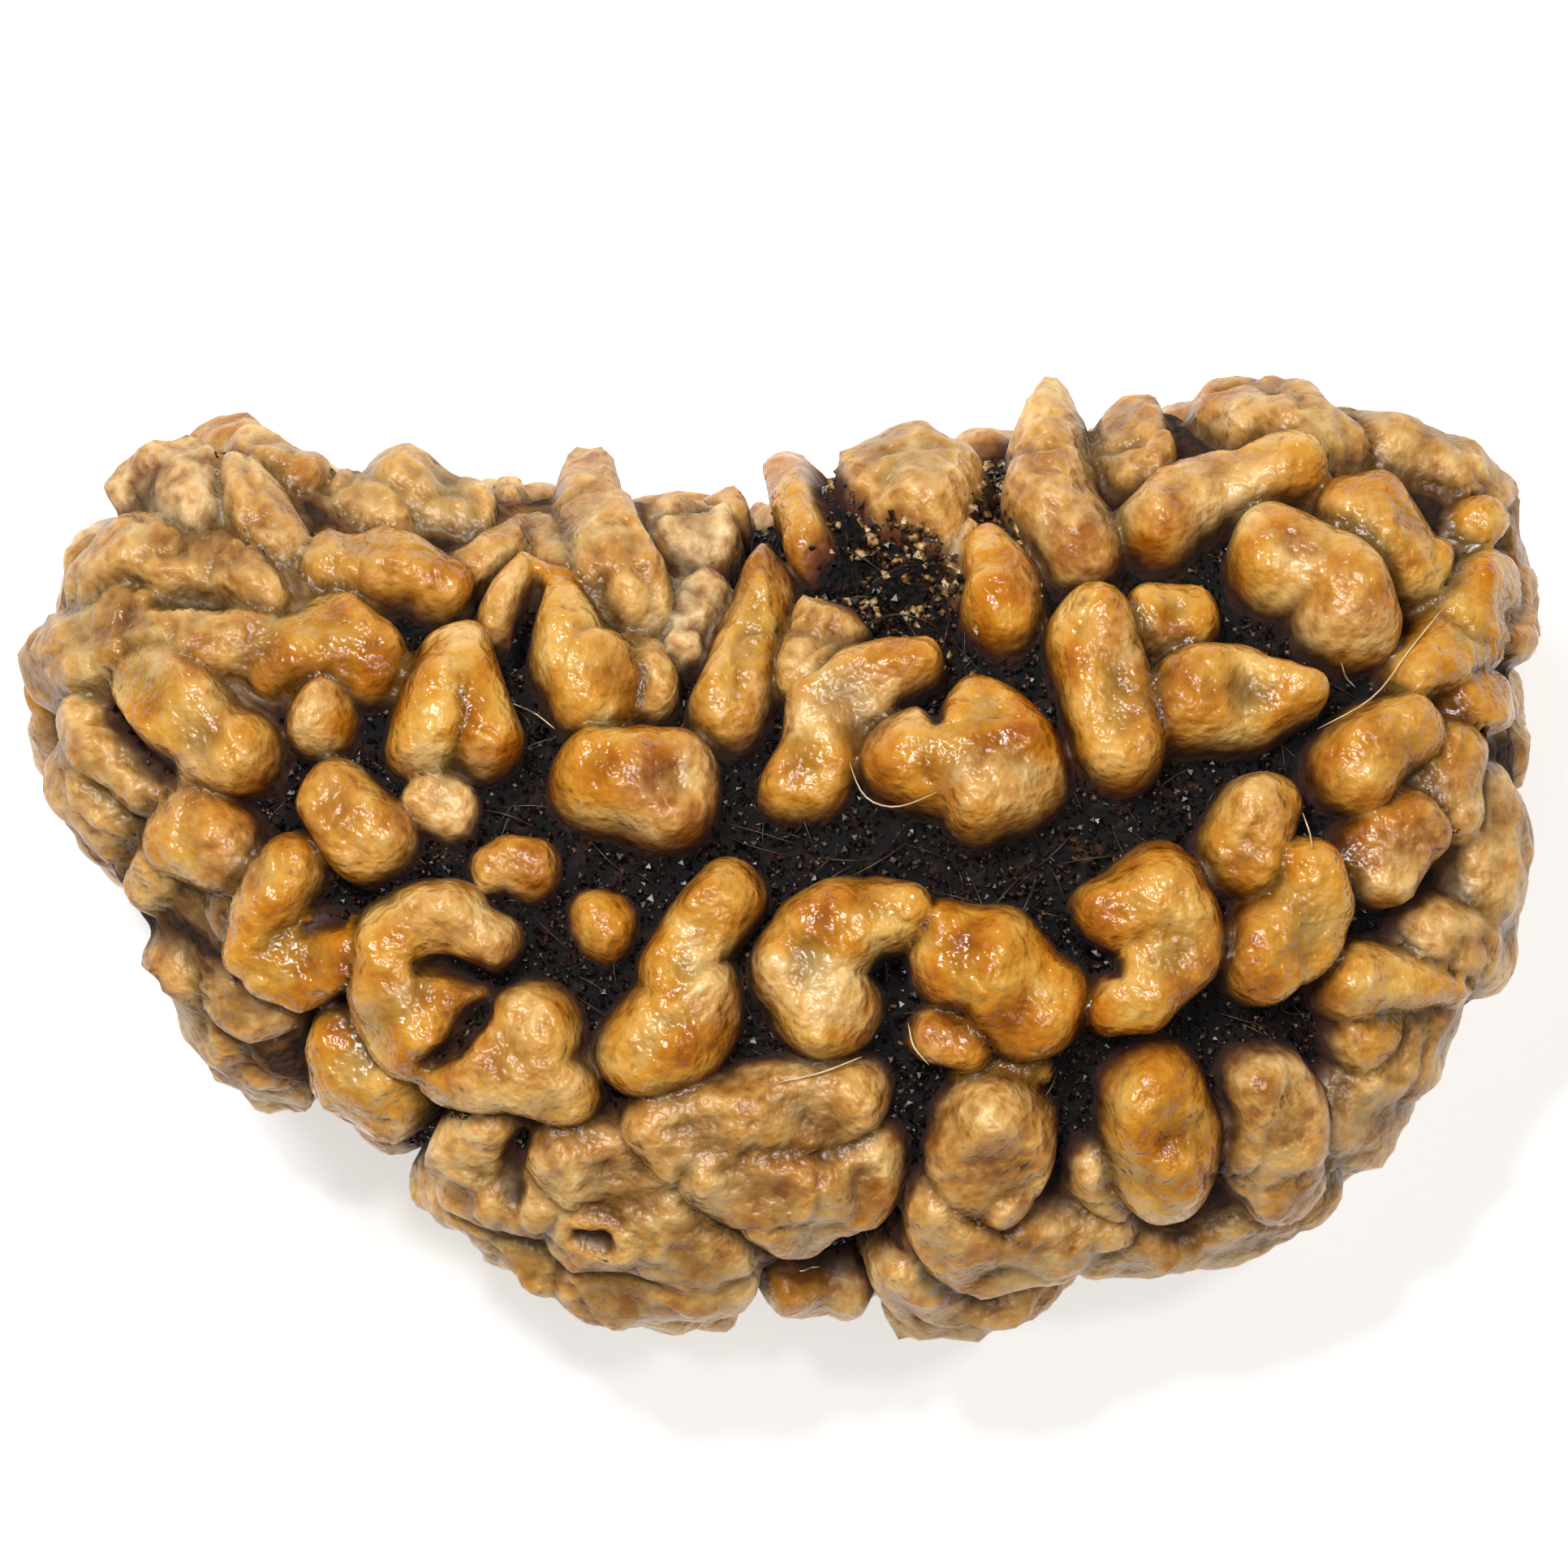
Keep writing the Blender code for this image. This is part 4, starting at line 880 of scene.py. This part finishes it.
# Dried fruit pulp and soil pressed into the grooves is near-black crumbs whose broken faces
# glint. Broken stone is chips of the pale dry crust, stained brown by the pulp they lie in.
def crumbMaterial(name):
    look = crumbLooks[name]
    material, tree, shader, place = startMaterial(name)
    crumb = addNode(tree, "ShaderNodeTexNoise", {
        "Vector": place, "Scale": 1 / look["wave"], "Detail": 1.0}).outputs["Fac"]
    shades = addNode(tree, "ShaderNodeValToRGB", {0: crumb}, look["shades"]).outputs[0]
    tree.links.new(shades, shader.inputs["Base Color"])
    shader.inputs["Roughness"].default_value = look["roughness"]
    shader.inputs["Specular IOR Level"].default_value = look["specular"]
    return material


# Dry plant fibre caught in the grooves: thin, slightly shiny, straw to brown, and darker in
# places along its length, by a wave in metres.
fibreLook = {"wave": 0.0004, "darkest": 0.7, "roughness": 0.40}


def dryFibre(name, hexValue):
    material, tree, shader, place = startMaterial(name)
    length = addNode(tree, "ShaderNodeTexNoise", {
        "Vector": place, "Scale": 1 / fibreLook["wave"], "Detail": 2.0}).outputs["Fac"]
    shade = addNode(tree, "ShaderNodeMapRange", {
        "Value": length, "From Min": 0.35, "From Max": 0.65, "To Min": fibreLook["darkest"]}).outputs[0]
    tone = addNode(tree, "ShaderNodeMix", {
        0: 1.0, 6: colour(hexValue), 7: shade}, data_type="RGBA", blend_type="MULTIPLY").outputs[2]
    tree.links.new(tone, shader.inputs["Base Color"])
    shader.inputs["Roughness"].default_value = fibreLook["roughness"]
    return material


surface, quads, outward, values = stoneSurface()
surfaceLow = surface.min(axis=0)
surfaceHigh = surface.max(axis=0)
print("stone worked out:", len(quads) * 2, "triangles, mm", np.round(surfaceHigh - surfaceLow, 2))


# From the stone's own millimetres to metres in the frame: the two boxes are laid on each other.
def toFrame(points):
    share = (points - surfaceLow) / (surfaceHigh - surfaceLow)
    return frameLow + share * (frameHigh - frameLow)


bead = meshPiece("bead_stone", toFrame(surface), quads, values)
bead.data.materials.append(oiledStone())
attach(bead, "root")
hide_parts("bead")
print("stone made")

# Eight-sided crumbs of dried pulp stuck in the grooves. Sizes are in millimetres, and highestRise
# is how far up a knob's side they lie.
grit = {"count": 15000, "smallest": 0.025, "largest": 0.085, "highestRise": 0.15, "seed": 21}

# Bigger pale crumbs of broken stone, gathered round the deep hollow in the hollow edge
debris = {"count": 600, "smallest": 0.04, "largest": 0.13, "highestRise": 0.60, "seed": 4,
          "middle": (2.6, 5.6), "reach": 1.3}

# What both kinds share: where they may lie, how uneven they are and how far they stand off
crumbs = {"cleanLimit": 0.6, "steepShare": 0.3, "stretch": (0.5, 1.3), "jitter": 0.05, "lift": 0.02}


# A shape at many places at once: its corners scaled and turned by a random frame at each place.
def scatterShapes(corners, faces, places, sizes, rng):
    frames = np.linalg.qr(rng.normal(size=(len(places), 3, 3)))[0]
    stretched = corners[None] * sizes[:, None, :]
    turned = np.einsum("nij,nkj->nki", frames, stretched) + places[:, None]
    flip = np.linalg.det(frames) < 0
    order = np.where(flip[:, None, None], faces[None, :, ::-1], faces[None])
    order = order + (np.arange(len(places)) * len(corners))[:, None, None]
    return turned.reshape(-1, 3), order.reshape(-1, faces.shape[1])


# Crumbs lie where the ground is low, thickest where it faces up, and near a middle if one is given.
def looseCrumbs(kind):
    rng = np.random.default_rng(kind["seed"])
    corners = np.array(((1, 0, 0), (-1, 0, 0), (0, 1, 0), (0, -1, 0), (0, 0, 1), (0, 0, -1)), float)
    faces = np.array(((0, 2, 4), (2, 1, 4), (1, 3, 4), (3, 0, 4), (2, 0, 5), (1, 2, 5), (3, 1, 5), (0, 3, 5)))
    low = (values["rise"] < kind["highestRise"]) & (values["clean"] < crumbs["cleanLimit"])
    chance = np.where(low, 1.0, 0.0)
    chance = chance * (crumbs["steepShare"] + np.clip(outward[:, 2], 0, 1))
    if "middle" in kind:
        gap = np.hypot(surface[:, 0] - kind["middle"][0], surface[:, 1] - kind["middle"][1])
        chance = chance * np.exp(-(gap / kind["reach"]) ** 2) * (outward[:, 2] > 0)
    count = kind["count"]
    spots = rng.choice(len(surface), count, p=chance / chance.sum())
    sizes = rng.uniform(kind["smallest"], kind["largest"], (count, 1))
    sizes = sizes * rng.uniform(*crumbs["stretch"], (count, 3))
    jitter = rng.normal(scale=crumbs["jitter"], size=(count, 3))
    places = surface[spots] + jitter + outward[spots] * crumbs["lift"]
    return scatterShapes(corners, faces, places, sizes, rng)


for name, kind, stuff in (
    ("groove_grit", grit, "dried fruit pulp"),
    ("pit_crumbs", debris, "broken stone crumbs"),
):
    points, faces = looseCrumbs(kind)
    piece = meshPiece(name, toFrame(points), faces)
    piece.data.materials.append(crumbMaterial(stuff))
    piece.data.shade_flat()
    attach(piece, "root")
    print(name, "made:", len(faces), "faces")

# Fibres caught in the grooves, in millimetres. The pale ones lie where the front shows them.
hairs = {
    "count": 160,
    "rings": 13,
    "sides": 5,
    "tipShare": 0.2,
    "thinnest": 0.008,
    "thickest": 0.018,
    "shortest": 0.4,
    "longest": 1.4,
    "bend": 0.35,
    "lift": (0.05, 0.30),
    "clearance": 0.04,
    "levelLimit": 0.45,
    "cleanLimit": 0.6,
    "seed": 8,
    "paleRadius": 0.016,
    "paleLift": 0.03,
    "paleNear": 0.2,
    "paleRounds": 4,
    "paleWindow": 5,
    "pale": (
        ((1.20, 1.62), (1.41, 0.99), (1.97, 0.81), (2.67, 1.13)),
        ((9.51, 3.29), (9.60, 3.05), (9.79, 2.88)),
        ((9.09, 2.18), (10.20, 2.74), (10.48, 3.29), (11.32, 4.27)),
        ((8.81, 0.78), (8.92, 0.50), (8.95, 0.22)),
        ((0.01, -3.69), (0.70, -3.55), (1.41, -3.27)),
        ((2.18, -2.71), (2.25, -3.10), (2.53, -3.41)),
        ((-4.45, 2.60), (-4.10, 2.45), (-3.76, 2.18)),
        ((0.36, -6.90), (0.71, -6.90)),
    ),
}


# Tubes along many paths at once: a ring of sides round each path point, square to the path and
# to the given up direction, thinning to a fifth at both ends, which are closed by flat caps.
def tubes(paths, ups, radii):
    count, rings, axes = paths.shape
    sides = hairs["sides"]
    ahead = np.gradient(paths, axis=1)
    ahead = ahead / np.linalg.norm(ahead, axis=2, keepdims=True)
    across = np.cross(ahead, ups)
    across = across / np.maximum(np.linalg.norm(across, axis=2, keepdims=True), 1e-9)
    over = np.cross(across, ahead)
    turn = 2 * math.pi * np.arange(sides) / sides
    swell = np.sqrt(np.sin(math.pi * np.linspace(0.0, 1.0, rings)).clip(0, 1))
    thin = hairs["tipShare"] + (1 - hairs["tipShare"]) * swell
    ring = np.cos(turn)[:, None] * across[:, :, None] + np.sin(turn)[:, None] * over[:, :, None]
    points = paths[:, :, None] + ring * (radii[:, None] * thin)[:, :, None, None]
    index = np.arange(count * rings * sides).reshape(count, rings, sides)
    ahead, behind = index[:, 1:], index[:, :-1]
    quads = np.stack((behind, ahead, np.roll(ahead, -1, 2), np.roll(behind, -1, 2)), axis=-1)
    caps = np.concatenate((index[:, 0, :], index[:, -1, ::-1]))
    return points.reshape(-1, 3), quads.reshape(-1, 4).tolist() + caps.tolist()


# Loose fibres: each starts on a groove floor and runs over it on a bending course,
# place = start + s * heading + bend * s^2 * sideways, lifted in the middle by a half sine wave.
def looseFibres():
    rng = np.random.default_rng(hairs["seed"])
    level = outward[:, 2] > hairs["levelLimit"]
    inGroove = (values["rise"] < 0.0) & (values["clean"] < hairs["cleanLimit"])
    chance = np.where(inGroove & level, 1.0, 0.0)
    spots = rng.choice(len(surface), hairs["count"], p=chance / chance.sum())
    normal = outward[spots]
    heading = unit(np.cross(normal, rng.normal(size=normal.shape)))
    sideways = np.cross(normal, heading)
    length = rng.uniform(hairs["shortest"], hairs["longest"], len(spots))
    bend = rng.uniform(-hairs["bend"], hairs["bend"], len(spots))
    lift = rng.uniform(*hairs["lift"], len(spots))
    run = np.linspace(0, 1, hairs["rings"])[None, :, None]
    paths = surface[spots][:, None] + run * (length[:, None] * heading)[:, None]
    paths = paths + run ** 2 * (bend[:, None] * sideways)[:, None]
    height = hairs["clearance"] + np.sin(math.pi * run) * lift[:, None, None]
    paths = paths + height * normal[:, None]
    radii = rng.uniform(hairs["thinnest"], hairs["thickest"], len(spots))
    return tubes(paths, np.repeat(normal[:, None], hairs["rings"], axis=1), radii)


# Pale fibres: places in plan, evened along their length, each set on the highest stone near it.
def paleFibres():
    paths = []
    for places in hairs["pale"]:
        places = np.array(places)
        length = np.concatenate(([0.0], np.cumsum(np.hypot(*np.diff(places, axis=0).T))))
        wanted = np.linspace(0, length[-1], hairs["rings"])
        plan = np.column_stack([np.interp(wanted, length, places[:, axis]) for axis in (0, 1)])
        for turn in range(hairs["paleRounds"]):
            plan[1:-1] = (plan[:-2] + 2 * plan[1:-1] + plan[2:]) / 4
        gaps = np.hypot(surface[:, None, 0] - plan[:, 0], surface[:, None, 1] - plan[:, 1])
        rise = np.where(gaps < hairs["paleNear"], surface[:, 2:], -np.inf).max(axis=0) + hairs["paleLift"]
        window = hairs["paleWindow"]
        rise = np.pad(rise, window // 2, mode="edge")
        rise = np.convolve(rise, np.full(window, 1 / window), mode="valid")
        paths.append(np.column_stack((plan, rise)))
    paths = np.array(paths)
    ups = np.zeros_like(paths)
    ups[:, :, 2] = 1.0
    return tubes(paths, ups, np.full(len(paths), hairs["paleRadius"]))


for name, maker, fibre, hexValue in (
    ("groove_fibres", looseFibres, "brown plant fibre", "#3B291B"),
    ("pale_fibres", paleFibres, "dry plant fibre", "#E2CFA4"),
):
    points, faces = maker()
    piece = meshPiece(name, toFrame(points), faces)
    piece.data.materials.append(dryFibre(fibre, hexValue))
    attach(piece, "root")
print("fibres made")

# Studio: sizes and places in millimetres, light power in watts
studio = {
    "floorHalf": 400.0,
    "floorDrop": 0.01,
    "floorColour": "#F4F4F2",
    "floorRoughness": 0.9,
    "floorGlow": 0.56,
    "worldStrength": 0.15,
    "lens": 250.0,
    "sensor": 36.0,
    "viewWidth": 26.97,
    "viewCentre": (0.10, 1.26),
    "middleHeight": 6.0,
    "nearest": 1.0,
    "lights": (
        # name, place, side length, power
        ("key", (-40.0, 70.0, 155.0), 44.0, 0.185),
        ("fill", (40.0, -25.0, 200.0), 90.0, 0.080),
        ("spark", (-30.0, 45.0, 190.0), 13.0, 0.110),
        ("glint", (35.0, 20.0, 195.0), 10.0, 0.050),
    ),
}


# Floor: a square just under the stone, like a light table that glows a little under it.
def paleFloor():
    half = studio["floorHalf"] * millimetre
    low = -studio["floorDrop"] * millimetre
    corners = np.array(((-half, -half, low), (half, -half, low), (half, half, low), (-half, half, low)))
    floor = meshPiece("floor", corners, [[0, 1, 2, 3]])
    material = bpy.data.materials.new("lit white acrylic")
    material.use_nodes = True
    shader = material.node_tree.nodes["Principled BSDF"]
    shader.inputs["Base Color"].default_value = colour(studio["floorColour"])
    shader.inputs["Roughness"].default_value = studio["floorRoughness"]
    shader.inputs["Emission Color"].default_value = colour(studio["floorColour"])
    shader.inputs["Emission Strength"].default_value = studio["floorGlow"]
    floor.data.materials.append(material)


# A square light that faces the bead.
def squareLight(name, place, side, power):
    data = bpy.data.lights.new(name, "AREA")
    data.size = side * millimetre
    data.energy = power
    light = bpy.data.objects.new(name, data)
    light.location = Vector(place) * millimetre
    light.rotation_euler = (-light.location).to_track_quat("-Z", "Y").to_euler()
    bpy.context.scene.collection.objects.link(light)


paleFloor()
for light in studio["lights"]:
    squareLight(*light)
world = bpy.data.worlds.new("soft white room")
world.use_nodes = True
sky = world.node_tree.nodes["Background"]
sky.inputs["Strength"].default_value = studio["worldStrength"]
sky.inputs["Color"].default_value = (1.0, 1.0, 1.0, 1.0)
bpy.context.scene.world = world
bpy.context.scene.view_settings.view_transform = "Standard"

# Camera: straight down on the bead's broad face, far enough off that the knobs hardly spread
camera = bpy.data.cameras.new("camera")
camera.lens = studio["lens"]
camera.sensor_width = studio["sensor"]
camera.clip_start = studio["nearest"] * millimetre
cameraObject = bpy.data.objects.new("camera", camera)
aim = toFrame(np.array((*studio["viewCentre"], surfaceLow[2])))
distance = studio["viewWidth"] * studio["lens"] / studio["sensor"]
cameraObject.location = (aim[0], aim[1], (studio["middleHeight"] + distance) * millimetre)
bpy.context.scene.collection.objects.link(cameraObject)
bpy.context.scene.camera = cameraObject
print("studio made")

bpy.context.view_layer.update()
